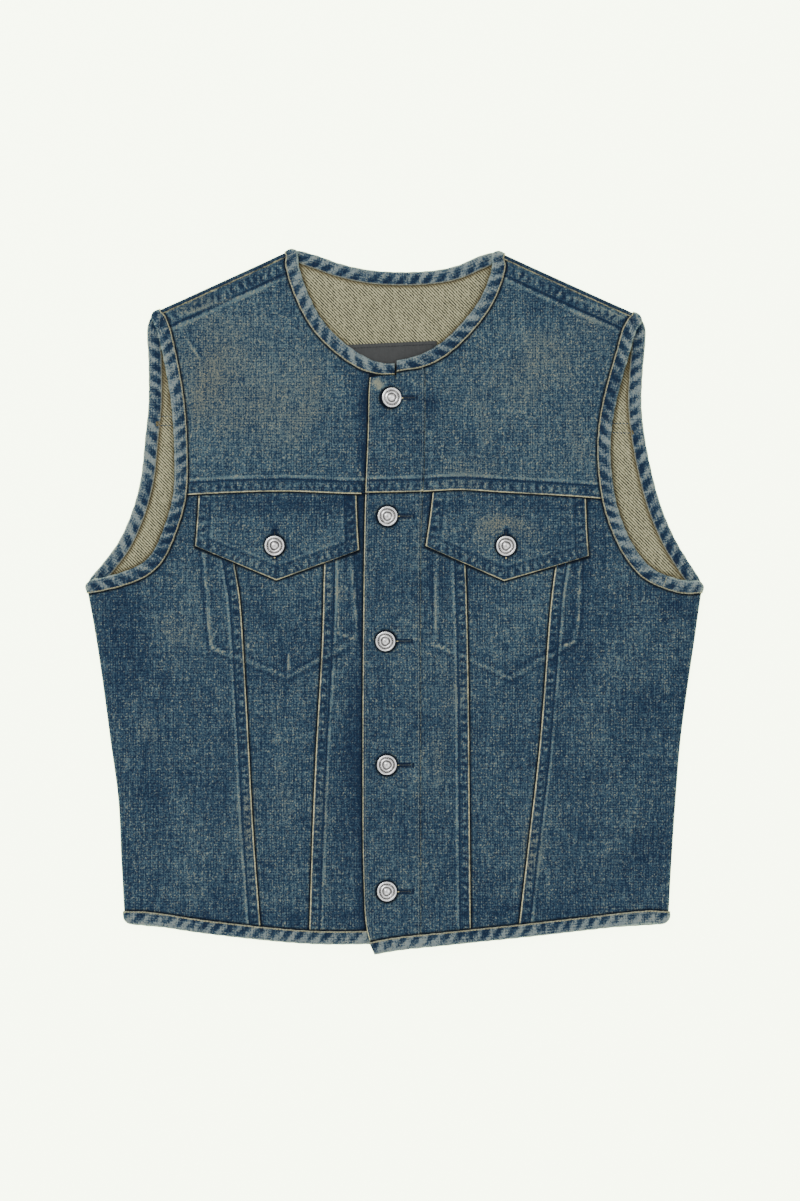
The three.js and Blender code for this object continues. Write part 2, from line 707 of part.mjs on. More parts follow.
// Cuts one solid out of another, both closed
function solid(geometry) {
  const shape = geometry.clone();
  shape.deleteAttribute("normal");
  shape.deleteAttribute("uv");
  const { attributes, index } = mergeVertices(shape, 1e-4);
  const triVerts = new Uint32Array(index.array);
  return new wasm.Manifold(new wasm.Mesh({ numProp: 3, vertProperties: attributes.position.array, triVerts }));
}
function cut(geometry, tools) {
  const result = tools.reduce((rest, tool) => rest.subtract(solid(tool)), solid(geometry));
  const mesh = result.getMesh();
  return new THREE.BufferGeometry()
    .setAttribute("position", new THREE.BufferAttribute(mesh.vertProperties, 3))
    .setIndex(new THREE.BufferAttribute(mesh.triVerts, 1));
}

// A buttonhole through a panel: a slit, opened to a round eyelet where the shank stands.
function buttonhole({ x, y }, { ahead, behind }, direction) {
  const half = SLIT_WIDTH / 2;
  const angle = Math.asin(half / EYELET_RADIUS);
  const shape = new THREE.Shape();
  shape.absarc(0, 0, EYELET_RADIUS, angle, Math.PI - angle, false);
  shape.lineTo(-behind, half);
  shape.lineTo(-behind, -half);
  shape.absarc(0, 0, EYELET_RADIUS, Math.PI + angle, 2 * Math.PI - angle, false);
  shape.lineTo(ahead, -half);
  shape.lineTo(ahead, half);
  const tool = new THREE.ExtrudeGeometry(shape, { depth: TOOL_DEPTH, bevelEnabled: false, curveSegments: 6 });
  return tool.rotateZ(direction).translate(x, y, 0);
}
function tackHole({ x, y }) {
  const tool = new THREE.CylinderGeometry(TACK_HOLE_RADIUS, TACK_HOLE_RADIUS, TOOL_DEPTH, 10);
  return tool.rotateX(Math.PI / 2).translate(x, y, TOOL_DEPTH / 2);
}

// A shank button about the middle of the cloth that it is fixed to: a tack behind that cloth, the shank
// up through the buttonhole from there to grip, and a dished head with a raised rim and a small boss.
function button(grip) {
  const seat = CLOTH / 2 + GAP;
  const profile = [
    [0, -2 * seat],
    [TACK_RADIUS, -2 * seat],
    [TACK_RADIUS, -seat],
    [TACK_HOLE_RADIUS - GAP, -seat],
    [TACK_HOLE_RADIUS - GAP, seat],
    [SHANK_RADIUS, seat],
    [SHANK_RADIUS, grip],
    [BUTTON_RADIUS - 0.6, grip],
    [BUTTON_RADIUS, grip + 0.8],
    [BUTTON_RADIUS - 0.2, grip + 2],
    [BUTTON_RADIUS - 0.9, grip + 2.4],
    [BUTTON_RADIUS - 1.8, grip + 1.9],
    [BOSS_RADIUS, grip + 1.9],
    [BOSS_RADIUS - 0.7, grip + 2.5],
    [0, grip + 2.6],
  ].map(([radius, z]) => new THREE.Vector2(radius, z));
  return new THREE.LatheGeometry(profile, BUTTON_SIDES).rotateX(Math.PI / 2);
}

const vest = new THREE.Group();
function add(name, geometry, finish = DENIM) {
  const mesh = new THREE.Mesh(geometry, new THREE.MeshStandardMaterial(finish));
  mesh.name = name;
  vest.add(mesh);
  return mesh;
}

// Lines that the panels are cut to
const line = Line.through;
const HEIGHT = { right: rightHeight, left: leftHeight };
const seams = {};
for (const side of ["right", "left"]) {
  const fold = SHOULDER_FOLD[side];
  const out = fold.at(0, 0).out;
  const past = (distance) => {
    const [neck, arm] = SHOULDERS[side].map(({ x, y }) => vector(x, y));
    const along = arm.clone().sub(neck).normalize();
    const shift = out.clone().multiplyScalar(distance - TANGENT);
    return new Line([
      neck.addScaledVector(along, -BEYOND).add(shift),
      arm.addScaledVector(along, BEYOND).add(shift),
    ]);
  };
  seams[side] = {
    yoke: line(YOKE_SEAM[side]),
    outer: line(OUTER_SEAM[side]),
    inner: line(INNER_SEAM[side]),
    shoulderFront: past(-SHOULDER_OVER),
    shoulderBack: past(Math.PI * ROLL + SHOULDER_OVER),
    neck: EDGE["neck_" + side].whole,
    armFront: EDGE["armFront_" + side].whole,
    armBack: EDGE["armBack_" + side],
    hem: EDGE["hem_" + side].whole,
  };
}
const placketSeam = line(PLACKET_SEAM);
const placketEdge = line(PLACKET_EDGE);
const placketTop = line(PLACKET_TOP);
const underEdge = uprightLine(UNDER_EDGE_X);
const backYokeSeam = line(BACK_YOKE_SEAM);
const halfTurn = (Math.PI * ROLL) / 2;
const sideLine = (side, past) =>
  SIDE_FOLD[side].outline.moved((side === "right" ? -1 : 1) * (past - TANGENT), 0);
const TURN_CELLS = 5; // cells round a fold
const roundFold = (from) =>
  Array.from({ length: TURN_CELLS + 1 }, (_, i) => from + (i / TURN_CELLS) * Math.PI * ROLL);
// Round half a fold, up to a seam that lies at the very edge
const halfFold = [1, 2 / 3, 1 / 3, 0].map((share) => mix(GAP, halfTurn, share));

// Rows and columns of cells that begin inside a binding, with one more just past it
const FROM_BINDING = 13;
const OUT_OF_BINDING = BINDING_WIDTH + GAP - CLOTH_INSET;
const fromBinding = { step: LONG_STEP, first: [GAP / 2], start: FROM_BINDING };
const intoBinding = { step: LONG_STEP, last: [GAP / 2], end: FROM_BINDING };

// Yokes
const onFront = (side) => ({ lift: (x, y) => lay(x, y, HEIGHT[side], 1, []) });
add("front_yoke_right", cut(
  panel({
    bottom: [seams.right.yoke],
    right: [underEdge, levelLine(UNDER_TAB_Y), uprightLine(NECK_ENDS.right), seams.right.neck],
    top: [seams.right.shoulderFront],
    left: [seams.right.armFront],
  }, { ...onFront("right"), up: { step: EDGE_STEP } }),
  [tackHole(FRONT_BUTTONS[0])],
));
add("front_yoke_left", panel({
  bottom: [seams.left.yoke],
  right: [seams.left.armFront],
  top: [seams.left.shoulderFront],
  left: [seams.left.neck, placketSeam],
}, { ...onFront("left"), up: { step: EDGE_STEP } }));
add("back_yoke", panel({
  bottom: [backYokeSeam],
  right: [seams.left.armBack.whole],
  top: [
    seams.left.shoulderBack,
    EDGE.neckBack.last.part(1, 0).inCells(TURN_CELLS),
    EDGE.neckBack.cloth.part(1, 0),
    EDGE.neckBack.first.inCells(TURN_CELLS),
    seams.right.shoulderBack,
  ],
  left: [seams.right.armBack.whole],
}, {
  across: { ...fromBinding, ...intoBinding, step: BACK_STEP },
  up: {
    step: BACK_STEP,
    end: SHOULDER_OVER + Math.PI * ROLL + STEP,
    last: [...roundFold(SHOULDER_OVER).reverse(), GAP / 2],
  },
  lift: (x, y) => lay(x, y, backHeight, -1, [SHOULDER_FOLD.right, SHOULDER_FOLD.left]),
}));

// Panels of the fronts below the yoke seam, and the back
const underTurn = Math.PI * ROLL + SIDE_SEAM_UNDER;
add("side_front_right", panel({
  bottom: [seams.right.hem],
  right: [seams.right.outer],
  top: [seams.right.yoke, seams.right.armFront],
  left: [sideLine("right", underTurn)],
}, {
  across: { first: [GAP / 2, ...roundFold(SIDE_SEAM_UNDER)], start: underTurn + STEP },
  up: fromBinding,
  lift: (x, y) => lay(x, y, rightHeight, 1, [SIDE_FOLD.right]),
}));
add("side_front_left", panel({
  bottom: [seams.left.hem],
  right: [sideLine("left", halfTurn)],
  top: [seams.left.armFront, seams.left.yoke],
  left: [seams.left.outer],
}, {
  across: { end: halfTurn + STEP, last: halfFold },
  up: fromBinding,
  lift: (x, y) => lay(x, y, leftHeight, 1, [SIDE_FOLD.left]),
}));
add("back_panel", panel({
  bottom: [EDGE.hemBack.whole],
  right: [
    sideLine("left", halfTurn),
    seams.left.armBack.last.part(1, 0).inCells(TURN_CELLS),
    seams.left.armBack.cloth.part(1, 0),
  ],
  top: [backYokeSeam],
  left: [seams.right.armBack.cloth, sideLine("right", -SIDE_SEAM_UNDER - GAP)],
}, {
  across: { ...fromBinding, step: BACK_STEP, end: halfTurn + FROM_BINDING, last: halfFold },
  up: fromBinding,
  lift: (x, y) => lay(x, y, backHeight, -1, [SIDE_FOLD.left]),
}));
for (const side of ["right", "left"]) {
  const [left, right] = side === "right" ? ["outer", "inner"] : ["inner", "outer"];
  add("centre_front_" + side, cut(
    panel({
      bottom: [seams[side].hem],
      right: [seams[side][right]],
      top: [seams[side].yoke],
      left: [seams[side][left]],
    }, { ...onFront(side), up: fromBinding }),
    [tackHole(FLAP_BUTTONS[side])],
  ));
}
add("inner_front_right", cut(
  panel({
    bottom: [seams.right.hem],
    right: [underEdge],
    top: [seams.right.yoke],
    left: [seams.right.inner],
  }, { ...onFront("right"), up: fromBinding }),
  FRONT_BUTTONS.slice(1).map(tackHole),
));
add("inner_front_left", panel({
  bottom: [seams.left.hem],
  right: [seams.left.inner],
  top: [seams.left.yoke],
  left: [placketSeam],
}, { ...onFront("left"), up: fromBinding }));

// Placket, doubled but for what the bindings hold
const plackets = {
  thickness: (x, y) => {
    const distances = ["neck_left", "hem_left"].map((name) => EDGE[name].line.nearest(x, y).distance);
    const edge = Math.min(...distances);
    return mix(CLOTH, DOUBLED, ease(BINDING_WIDTH + 2 * GAP, FROM_BINDING + CLOTH_INSET, edge));
  },
  ...onFront("left"),
};
const holes = FRONT_BUTTONS.map((at) => buttonhole(at, FRONT_HOLE, 0));
add("placket_upper", cut(
  panel({
    bottom: [seams.left.yoke],
    right: [placketSeam],
    top: [seams.left.neck, uprightLine(NECK_ENDS.left), placketTop],
    left: [placketEdge],
  }, { ...plackets, up: { ...intoBinding, last: [OUT_OF_BINDING, GAP / 2] } }),
  holes.slice(0, 1),
));
add("placket_lower", cut(
  panel({
    bottom: [seams.left.hem],
    right: [placketSeam],
    top: [seams.left.yoke],
    left: [placketEdge],
  }, { ...plackets, up: { ...fromBinding, first: [GAP / 2, OUT_OF_BINDING] } }),
  holes.slice(1),
));

// Pocket flaps on the fronts and pocket bags behind them, each ending in a point
function pointed({ left, right, point }, top, options) {
  const tip = vector(point.x, point.y);
  const edge = (rows) => {
    const end = vector(rows.at(-1).x, rows.at(-1).y + 1);
    return new Line([tip.clone(), end.addScaledVector(end.clone().sub(tip).normalize(), BEYOND)]);
  };
  const [toLeft, toRight] = [edge(left), edge(right)];
  return panel({
    bottom: [toLeft.part(1, 0).then(toRight)],
    right: [line(right)],
    top: [top],
    left: [line(left)],
  }, { across: { corners: [tip] }, ...options });
}
for (const side of ["right", "left"]) {
  const onTop = CLOTH + GAP;
  add("pocket_flap_" + side, cut(
    pointed(FLAP[side], seams[side].yoke, {
      lift: (x, y) => vector(x, y, HEIGHT[side](x, y) + onTop),
      up: { end: 2 * GAP },
    }),
    [buttonhole(FLAP_BUTTONS[side], FLAP_HOLE, Math.PI / 2)],
  ));
  const { left, right, point } = BAG[side];
  const outline = line([...left, point, ...right.toReversed()]);
  add("pocket_bag_" + side, pointed(BAG[side], seams[side].yoke.moved(0, -BAG_TOP_DROP), {
    lift: (x, y) => {
      const inside = ease(0, 14, outline.nearest(x, y).distance);
      return vector(x, y, HEIGHT[side](x, y) - onTop - BAG_DEPTH * inside);
    },
  }));
}

// Bindings
const neckRuns = {
  right: runSections(EDGE.neck_right, 1),
  back: runSections(EDGE.neckBack, -1),
  left: runSections(EDGE.neck_left, 1),
};
add("neck_binding", foldedStrip([
  ...neckRuns.right.toReversed(),
  ...turnSections(neckRuns.right[0], NECK_CORNER.right.out),
  ...neckRuns.back,
  ...turnSections(neckRuns.left[0], NECK_CORNER.left.out).reverse(),
  ...neckRuns.left,
]), BINDING_DENIM);
const hemRuns = {
  right: runSections(EDGE.hem_right, 1, HEM_STEP),
  back: runSections(EDGE.hemBack, -1, HEM_STEP),
  left: runSections(EDGE.hem_left, 1, HEM_STEP),
};
add("hem_binding", foldedStrip([
  ...hemRuns.right,
  ...turnSections(hemRuns.right.at(-1), HEM_CORNER.right.out),
  ...hemRuns.back,
  ...turnSections(hemRuns.left.at(-1), HEM_CORNER.left.out).reverse(),
  ...hemRuns.left.toReversed(),
]), BINDING_DENIM);
// An armhole binding is a ring that opens at its join, a gap wide
for (const side of ["right", "left"]) {
  const front = runSections(EDGE["armFront_" + side], 1);
  const back = runSections(EDGE["armBack_" + side], -1);
  const ring = [
    ...front,
    ...turnSections(front.at(-1), UNDERARM_CORNER[side].out),
    ...back.toReversed(),
    ...turnSections(front[0], SHOULDER_CORNER[side].out).reverse(),
  ];
  const join = ARMHOLE_JOIN[side] < 0 ? ring.length + ARMHOLE_JOIN[side] : ARMHOLE_JOIN[side];
  const opened = [...ring.slice(join), ...ring.slice(0, join)];
  const [first, second] = opened;
  const shift = first.open.clone().sub(second.open).setLength(GAP);
  opened.push({ ...first, open: first.open.clone().add(shift) });
  add("armhole_binding_" + side, foldedStrip(opened), BINDING_DENIM);
}

// Buttons, and the label inside the back neck
FRONT_BUTTONS.forEach(({ x, y }, i) => {
  const mesh = add("button_" + (i + 1), button(LAP_RISE + DOUBLED / 2 + GAP), METAL);
  mesh.position.set(x, y, rightHeight(x, y));
});
for (const side of ["right", "left"]) {
  const { x, y } = FLAP_BUTTONS[side];
  const mesh = add("flap_button_" + side, button(1.5 * CLOTH + 2 * GAP), METAL);
  mesh.position.set(x, y, HEIGHT[side](x, y));
}
const label = new THREE.BoxGeometry(LABEL.right - LABEL.left, LABEL.height, CLOTH);
add("label", label, LEATHER).position.set(
  (LABEL.left + LABEL.right) / 2,
  LABEL.top - LABEL.height / 2,
  CLOTH + GAP + CLOTH / 2,
);

export default vest;
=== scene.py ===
import json
import math

import bmesh
import bpy
import numpy as np
from bpy.props import FloatProperty, FloatVectorProperty, PointerProperty
from mathutils import Matrix, Vector
from mathutils.bvhtree import BVHTree

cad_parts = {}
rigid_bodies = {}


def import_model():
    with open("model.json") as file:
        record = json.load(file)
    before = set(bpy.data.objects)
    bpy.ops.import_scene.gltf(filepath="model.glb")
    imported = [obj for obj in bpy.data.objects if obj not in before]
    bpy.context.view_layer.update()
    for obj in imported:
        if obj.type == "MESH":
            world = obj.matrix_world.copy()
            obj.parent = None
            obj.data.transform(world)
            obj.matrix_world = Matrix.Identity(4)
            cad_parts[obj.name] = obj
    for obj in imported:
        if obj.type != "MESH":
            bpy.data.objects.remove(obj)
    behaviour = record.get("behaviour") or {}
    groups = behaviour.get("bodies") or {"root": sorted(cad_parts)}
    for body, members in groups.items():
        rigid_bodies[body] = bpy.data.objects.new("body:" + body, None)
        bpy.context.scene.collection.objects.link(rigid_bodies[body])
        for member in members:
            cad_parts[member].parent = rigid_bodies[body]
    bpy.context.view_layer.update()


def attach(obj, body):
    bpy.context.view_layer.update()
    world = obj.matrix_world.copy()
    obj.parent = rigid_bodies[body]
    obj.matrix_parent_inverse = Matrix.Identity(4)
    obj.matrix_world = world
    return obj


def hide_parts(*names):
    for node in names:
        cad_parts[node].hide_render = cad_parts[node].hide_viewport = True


bl_info = {
    "name": "Denim vest",
    "version": (1, 0, 0),
    "blender": (4, 5, 0),
    "location": "3D View > Sidebar > Vest",
    "description": "Cloth, stitches, buttons and label of a denim vest laid flat",
    "category": "Object",
}

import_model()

# Forms are worked out in millimetres and become metres when a mesh gets its points.
# +Z is up, +Y is towards the neck, and right and left are the wearer's: right is at -X.
MM = 0.001

# Cloth and how it is stacked
CLOTH = 1.0
DOUBLED = 2.0
GAP = 0.3
BINDING_WIDTH = 11.5
BINDING_DEPTH = 3 * CLOTH + 0.8
CLOTH_INSET = 7.4
BACK_Z = CLOTH / 2
LAYER_RISE = BINDING_DEPTH + GAP
ROLL = LAYER_RISE / 2
TANGENT = ROLL + CLOTH / 2
FLAT_NEAR_BINDING = 18
LEVEL_FROM_BINDING = 36
LAP_RISE = 1.9
LAP_FALLS = (24, 56)
SWELL_FROM_MIDDLE = (16, 50)
LEVEL_FROM_FOLD = (10, 45)
SIDE_SEAM_UNDER = 8
SHOULDER_OVER = 1.6
BEYOND = 16
SQUARE_TO_FOLD = 16
NARROWING = 30
UNDERARM_Y = 17
HEM_CORNER_Y = -276
UNDER_EDGE_X = 14.6
UNDER_TAB_Y = 190.8
NECK_ENDS = {"right": 0, "left": 2.2}
NARROW_END = 9.4
TUCKED = 2.6  # how far a panel runs on under the seam band of its neighbour

SIGN = {"right": -1, "left": 1}
SIDES = ("right", "left")


def table(columns, *rows):
    """Rows of numbers, each with a name for every column."""
    names = columns.split()
    return [dict(zip(names, row)) for row in rows]


# Outline of the body below the arms
SIDE_ROWS = table(
    "y right left",
    (40, -268, 268), (17, -263.1, 263.1), (2.5, -260.1, 260.5), (-34, -253.7, 255.4),
    (-68, -248.6, 250.3), (-119, -241.8, 243.5), (-170, -235, 239.3), (-221, -232.5, 235.9),
    (-266, -229.9, 233.3), (-300, -228.2, 231.5),
)
SHOULDERS = {
    "right": table("x y", (-82.9, 300.1), (-209.5, 242.2)),
    "left": table("x y", (83.7, 298.3), (212.9, 239.7)),
}

# Bound edges: the opening edge of each binding, with z the height of the middle of its cloth
ARMHOLE_FRONT = {
    "right": table(
        "x y z",
        (-206.1, 238, 6), (-201.9, 228.7, 6), (-198.5, 215, 6), (-190.3, 170, 4.9), (-187.4, 126.6, 4.9),
        (-188.3, 90.1, 4.9), (-195.5, 63.3, 4.9), (-206.1, 39.9, 5.1), (-216.3, 30.2, 5.6),
        (-234.2, 22.9, 6), (-250, 19, 6),
    ),
    "left": table(
        "x y z",
        (210.4, 236.3, 6), (204.4, 226.1, 6), (200.5, 212, 6), (188.3, 166.6, 4.9), (184, 135.2, 4.9),
        (185.4, 102.8, 4.9), (190.8, 75.6, 4.9), (203.6, 45.9, 4.9), (218, 28, 5.6),
        (233.3, 20.4, 6), (248, 16.6, 6),
    ),
}
ARMHOLE_BACK = {
    "right": table(
        "x y z",
        (-210.6, 229.5, 1.9), (-209.5, 204, 1.9), (-209.5, 165.8, 1.9), (-212.1, 140.2, 1.9),
        (-216.3, 102, 1.9), (-223.1, 76.5, 1.9), (-234.2, 51, 1.9), (-246.9, 33.1, 1.9),
    ),
    "left": table(
        "x y z",
        (213.8, 229.5, 1.9), (211.2, 191.2, 1.9), (210.4, 165.8, 1.9), (212.9, 140.2, 1.9),
        (220.6, 102, 1.9), (228.2, 76.5, 1.9), (239.3, 51, 1.9), (249.5, 34, 1.9),
    ),
}
NECK_FRONT = {
    "right": table(
        "x y z",
        (-81.2, 284.8, 6), (-72.7, 259.2, 5.6), (-59.9, 236.3, 4.9), (-41.2, 217.6, 4.9),
        (-20, 204.5, 4.7), (-8.1, 201.4, 4.6), (0.2, 201.2, 4.6),
    ),
    "left": table(
        "x y z",
        (82.9, 283.1, 6), (74.4, 259.2, 5.6), (61.6, 240.5, 5.3), (40.4, 219.3, 6),
        (21.7, 208.6, 6.5), (1.8, 203.4, 6.5),
    ),
}
NECK_BACK = table(
    "x y z",
    (-63.3, 292.4, 1.9), (-46.3, 286.4, 1.9), (-20.8, 280.9, 1.9), (8.9, 279.2, 1.9),
    (38.7, 281.3, 1.9), (55.7, 285.6, 1.9), (71, 292.4, 1.9),
)
HEM_FRONT = {
    "right": table(
        "x y z",
        (14.9, -291.6, 6), (-29.3, -292.8, 6), (-63.3, -292.8, 6), (-97.3, -290.7, 6),
        (-165.3, -283.1, 6), (-199.3, -277.9, 6), (-214, -276.2, 6),
    ),
    "left": table(
        "x y z",
        (-16.8, -301.1, 10.2), (4.7, -297.5, 10.3), (38.7, -294.1, 8.8), (72.7, -290.7, 6.5),
        (106.7, -287.3, 6), (174.7, -279.6, 6), (208.7, -275.8, 6), (218, -275.2, 6),
    ),
}
HEM_BACK = table(
    "x y z",
    (-200, -278.5, 1.9), (-110, -284, 1.9), (0, -286, 1.9), (110, -283.5, 1.9), (205, -277.5, 1.9),
)

# Seams of the fronts
YOKE_SEAM = {
    "right": table("x y", (-215, 86), (-176.4, 89.2), (-97.3, 92.2), (-32.7, 90.1), (30, 90.6)),
    "left": table(
        "x y", (-40, 90.8), (25.9, 92.1), (54.8, 93.5), (93.1, 91.3), (163.6, 87.1), (210, 82.5),
    ),
}
OUTER_SEAM = {
    "right": table(
        "x y", (-148, 110), (-135.6, 28.1), (-131.3, 0.8), (-126.7, -70.5), (-123.7, -125),
        (-119.4, -204.8), (-112, -300),
    ),
    "left": table(
        "x y", (151, 110), (136.8, 28.1), (132.6, -5.1), (126.6, -85), (122, -136.8),
        (114.1, -204.8), (103, -300),
    ),
}
INNER_SEAM = {
    "right": table(
        "x y", (-57.6, 110), (-59.9, 28.1), (-61.6, -34.9), (-66.7, -125), (-70.1, -204.8), (-73, -300),
    ),
    "left": table("x y", (55.5, 110), (60.4, 28.1), (62.8, -58.6), (63.9, -170.8), (65, -300)),
}
PLACKET_SEAM = table("x y", (26, 240), (25.6, 120), (22.8, 60), (22.4, -100), (22.4, -310))
PLACKET_EDGE = table(
    "x y", (-20.2, 196), (-21.7, 176.8), (-22.4, 144.5), (-24.7, 86.7), (-26.2, 0), (-27, -125.8),
    (-26.2, -235), (-23.4, -279.6), (-15, -306),
)
PLACKET_TOP = table("x y", (-30, 187.6), (-20.8, 189.3), (-10, 190.8), (6, 191.2))
BACK_YOKE_SEAM = table("x y", (-240, 147.5), (240, 139.8))

# Pocket flaps, each side edge from the yoke seam down, and the bags behind the fronts
FLAP = {
    "right": {
        "left": table("x y", (-165.9, 100), (-167.6, 70), (-169.6, 45)),
        "right": table("x y", (-32.6, 100), (-31.5, 65), (-30, 41.5)),
        "point": (-100.3, 16.6),
    },
    "left": {
        "left": table("x y", (33.4, 100), (30, 70), (26.2, 45)),
        "right": table("x y", (162.5, 100), (163.6, 60), (165.4, 36.5)),
        "point": (93.2, 16.1),
    },
}
BAG = {
    "right": {
        "left": table("x y", (-163.5, 92), (-162.8, 37.4), (-158.9, -5.1), (-155.6, -42)),
        "right": table("x y", (-38.5, 92), (-36, 30), (-32.4, -17), (-32.2, -35)),
        "point": (-91.4, -66.3),
    },
    "left": {
        "left": table("x y", (38, 92), (34.8, 24.6), (34.8, -20), (33, -38)),
        "right": table("x y", (158.5, 92), (158, 30.6), (156.8, -20), (153.4, -36)),
        "point": (98.6, -66.7),
    },
}
BAG_TOP_DROP = 12
BAG_DEPTH = 1.1
FRONT_BUTTONS = table(
    "x y", (-3.3, 171.9), (-6.1, 71.3), (-7.5, -34.9), (-6.5, -140.2), (-6.6, -247.7),
)
FLAP_BUTTONS = {"right": {"x": -101.8, "y": 46.3}, "left": {"x": 94.8, "y": 46.1}}
FRONT_HOLE = {"ahead": 21, "behind": 4}
FLAP_HOLE = {"ahead": 12, "behind": 11}
LABEL = {"left": -40.4, "right": 36.1, "top": 219, "height": 50}

# Broad swells of the fronts
SWELLS = table(
    "x y reach rise",
    (-100, 30, 70, 0.7), (96, 30, 70, 0.7), (-165, -150, 75, 0.5), (178, -130, 70, 0.5),
    (-95, -190, 70, -0.3), (95, -200, 70, 0.3), (-120, 165, 75, 0.4), (120, 160, 75, 0.4),
)

# Creases, each listed: from one point to another, how wide, and how far up or down
FRONT_CREASES = table(
    "x1 y1 x2 y2 width rise",
    (-222, -95, -168, -205, 16, 0.9), (-205, -120, -160, -190, 10, -0.7), (-150, 205, -182, 120, 16, 0.6),
    (-60, 205, -100, 120, 20, 0.6), (-45, 150, -28, 118, 10, 0.5), (60, 190, 85, 110, 18, 0.6),
    (150, 190, 165, 120, 16, 0.6), (110, 230, 150, 200, 14, 0.5), (228, -10, 168, -60, 16, 0.8),
    (236, 5, 190, -20, 12, -0.6), (215, -180, 160, -235, 16, 0.7), (190, -90, 150, -150, 18, 0.6),
    (-236, 2, -185, -40, 16, 0.8), (-246, -30, -205, -60, 12, -0.6), (-190, -230, -140, -268, 14, 0.6),
    (-100, -90, -88, -200, 16, 0.5), (98, -90, 92, -210, 16, -0.5), (-45, -60, -52, -190, 12, 0.5),
    (44, -70, 42, -190, 12, 0.5), (-84, -225, -112, -262, 12, 0.5),
)
BACK_CREASES = table(
    "x1 y1 x2 y2 width rise",
    (-150, 190, -120, 90, 22, 0.7), (140, 200, 120, 100, 22, 0.7), (-60, 60, -40, -60, 26, 0.6),
    (70, 40, 50, -90, 26, 0.6), (-190, -60, -150, -180, 22, 0.8), (190, -40, 160, -190, 22, 0.8),
    (-30, -140, -10, -240, 22, 0.6), (20, 230, 0, 170, 20, 0.5),
)

# Worn lines, as of folds pressed over the bags: pale along the line where worn, and painted shade beside
# it where beside is above nought to the left of the way it runs and below nought to the right
FRONT_WEAR_AND_SHADE = table(
    "x1 y1 x2 y2 width strength beside",
    (-125, -50, -91, -66, 1.4, 0.7, 1), (-91, -66, -63, -49, 1.4, 0.6, 1),
    (-90, -46, -90.5, -60, 1.7, 0.9, -1), (-157, -38, -145, -45, 1.7, 1.0, 1),
    (-158, -38, -151, -26, 1.3, 0.8, 1), (-162, 36, -157, -38, 1.3, 0.7, -1),
    (-37, 33, -32, -17, 1.4, 0.7, 1), (-49.5, 34, -48, -24, 1.7, 0.9, -1),
    (-49, -28, -33, -34, 1.6, 1.0, -1), (-32, -20, -32, -40, 1.4, 0.8, 1), (35, 25, 35, -28, 1.4, 0.8, -1),
    (33, -37, 47, -43, 1.6, 1.0, 1), (67, -53, 98, -67, 1.4, 0.6, 1), (98, -67, 127, -53, 1.4, 0.6, 1),
    (158, 30, 156, -20, 1.4, 0.8, 1), (143, -39, 154, -35, 1.6, 1.0, 1), (146, 24, 142, -28, 1.4, 0.8, 1),
    (-176, 221, -166, 206, 1.5, 0.8, 1), (-31, 110, -24, 96, 1.7, 0.8, -1), (30, 101, 37, 95, 1.7, 0.8, -1),
    (20, -236, 32, -236, 1.6, 0.7, 1), (22, -243, 33, -242, 1.6, 0.7, 1),
    (-206, 243, -196, 222, 1.8, 0.7, 1), (-178, 243, -120, 262, 3, 0.6, -1),
    (150, 258, 196, 240, 3, 0.6, 1), (12, 188, 26, 180, 1.8, 0.6, 1), (-17, 187, -11, 180, 7, 1.0, 1),
)

# Where the dye has faded or stayed, and painted shade round the buttons, beside the placket's and
# flaps' edges, in the flaps' buttonholes and below the yoke seam: light above nought, dark below it
FRONT_TONES = table(
    "x y across along strength",
    (-144, 190, 45, 60, 0.5), (-60, 170, 40, 50, 0.25), (120, 185, 50, 55, 0.3), (64, 105, 28, 20, 0.4),
    (82, 72, 22, 16, 0.3), (-95, 80, 75, 9, -0.55), (100, 80, 75, 9, -0.45), (-33, 190, 16, 14, -0.4),
    (22, 170, 12, 16, -0.4), (168, 85, 16, 14, -0.4), (-229, -25, 22, 45, -0.6), (243, -8, 16, 24, -0.5),
    (-127, -38, 14, 14, 0.35), (-124, -205, 8, 60, 0.45), (-63, -200, 8, 55, 0.4), (-50, 8, 12, 16, 0.3),
    (56, -80, 10, 30, 0.35), (117, -217, 10, 40, 0.4), (-37, -140, 8, 60, -0.45), (107, -64, 16, 14, -0.3),
    (149, -47, 16, 16, -0.3), (200, -98, 22, 26, -0.35), (158, -187, 20, 22, -0.35),
    (221, -217, 20, 24, -0.3), (-203, -174, 18, 34, -0.4), (-106, 268, 30, 12, -0.35),
    (124, 255, 30, 12, -0.35), (-170, 253, 22, 12, 0.3), (172, 240, 24, 12, 0.3),
    (-100, -269, 120, 7, -0.35), (120, -264, 110, 7, -0.35), (-190, -20, 30, 60, 0.15),
    (30, -60, 14, 120, 0.12), (0, -90, 12, 40, 0.15), (-100, 45, 40, 22, 0.12), (95, 45, 40, 22, 0.12),
    (5, 166, 24, 9, -1.7), (30, 70, 5, 26, -0.8), (0, 83, 26, 5, -0.9), (-25, 120, 6, 32, -0.7),
    (-101.8, 57.4, 2.4, 4.2, -2.2), (94.8, 57.2, 2.4, 4.2, -2.0), (-35, 65, 6, 30, -0.8),
    (96, 62, 30, 20, 0.35), (-16, 184, 9, 9, 0.9), (-24, 170, 7, 12, -0.8), (-40, 84, 8, 10, -0.6),
    (2, -247, 20, 12, -0.4), (14, -35, 14, 9, -0.3),
)
BACK_TONES = table(
    "x y across along strength",
    (-120, 190, 60, 50, 0.3), (120, 190, 60, 50, 0.3), (0, 60, 90, 60, 0.3), (0, -120, 60, 90, 0.2),
    (-200, -60, 30, 90, -0.3), (200, -60, 30, 90, -0.3), (-60, -230, 60, 30, -0.2), (90, -210, 50, 40, 0.2),
)


def ease(low, high, x):
    """0 below low, 1 above high, and smooth between them."""
    share = np.clip((np.asarray(x, float) - low) / (high - low), 0, 1)
    return share * share * (3 - 2 * share)


def mix(a, b, share):
    return a + (b - a) * share


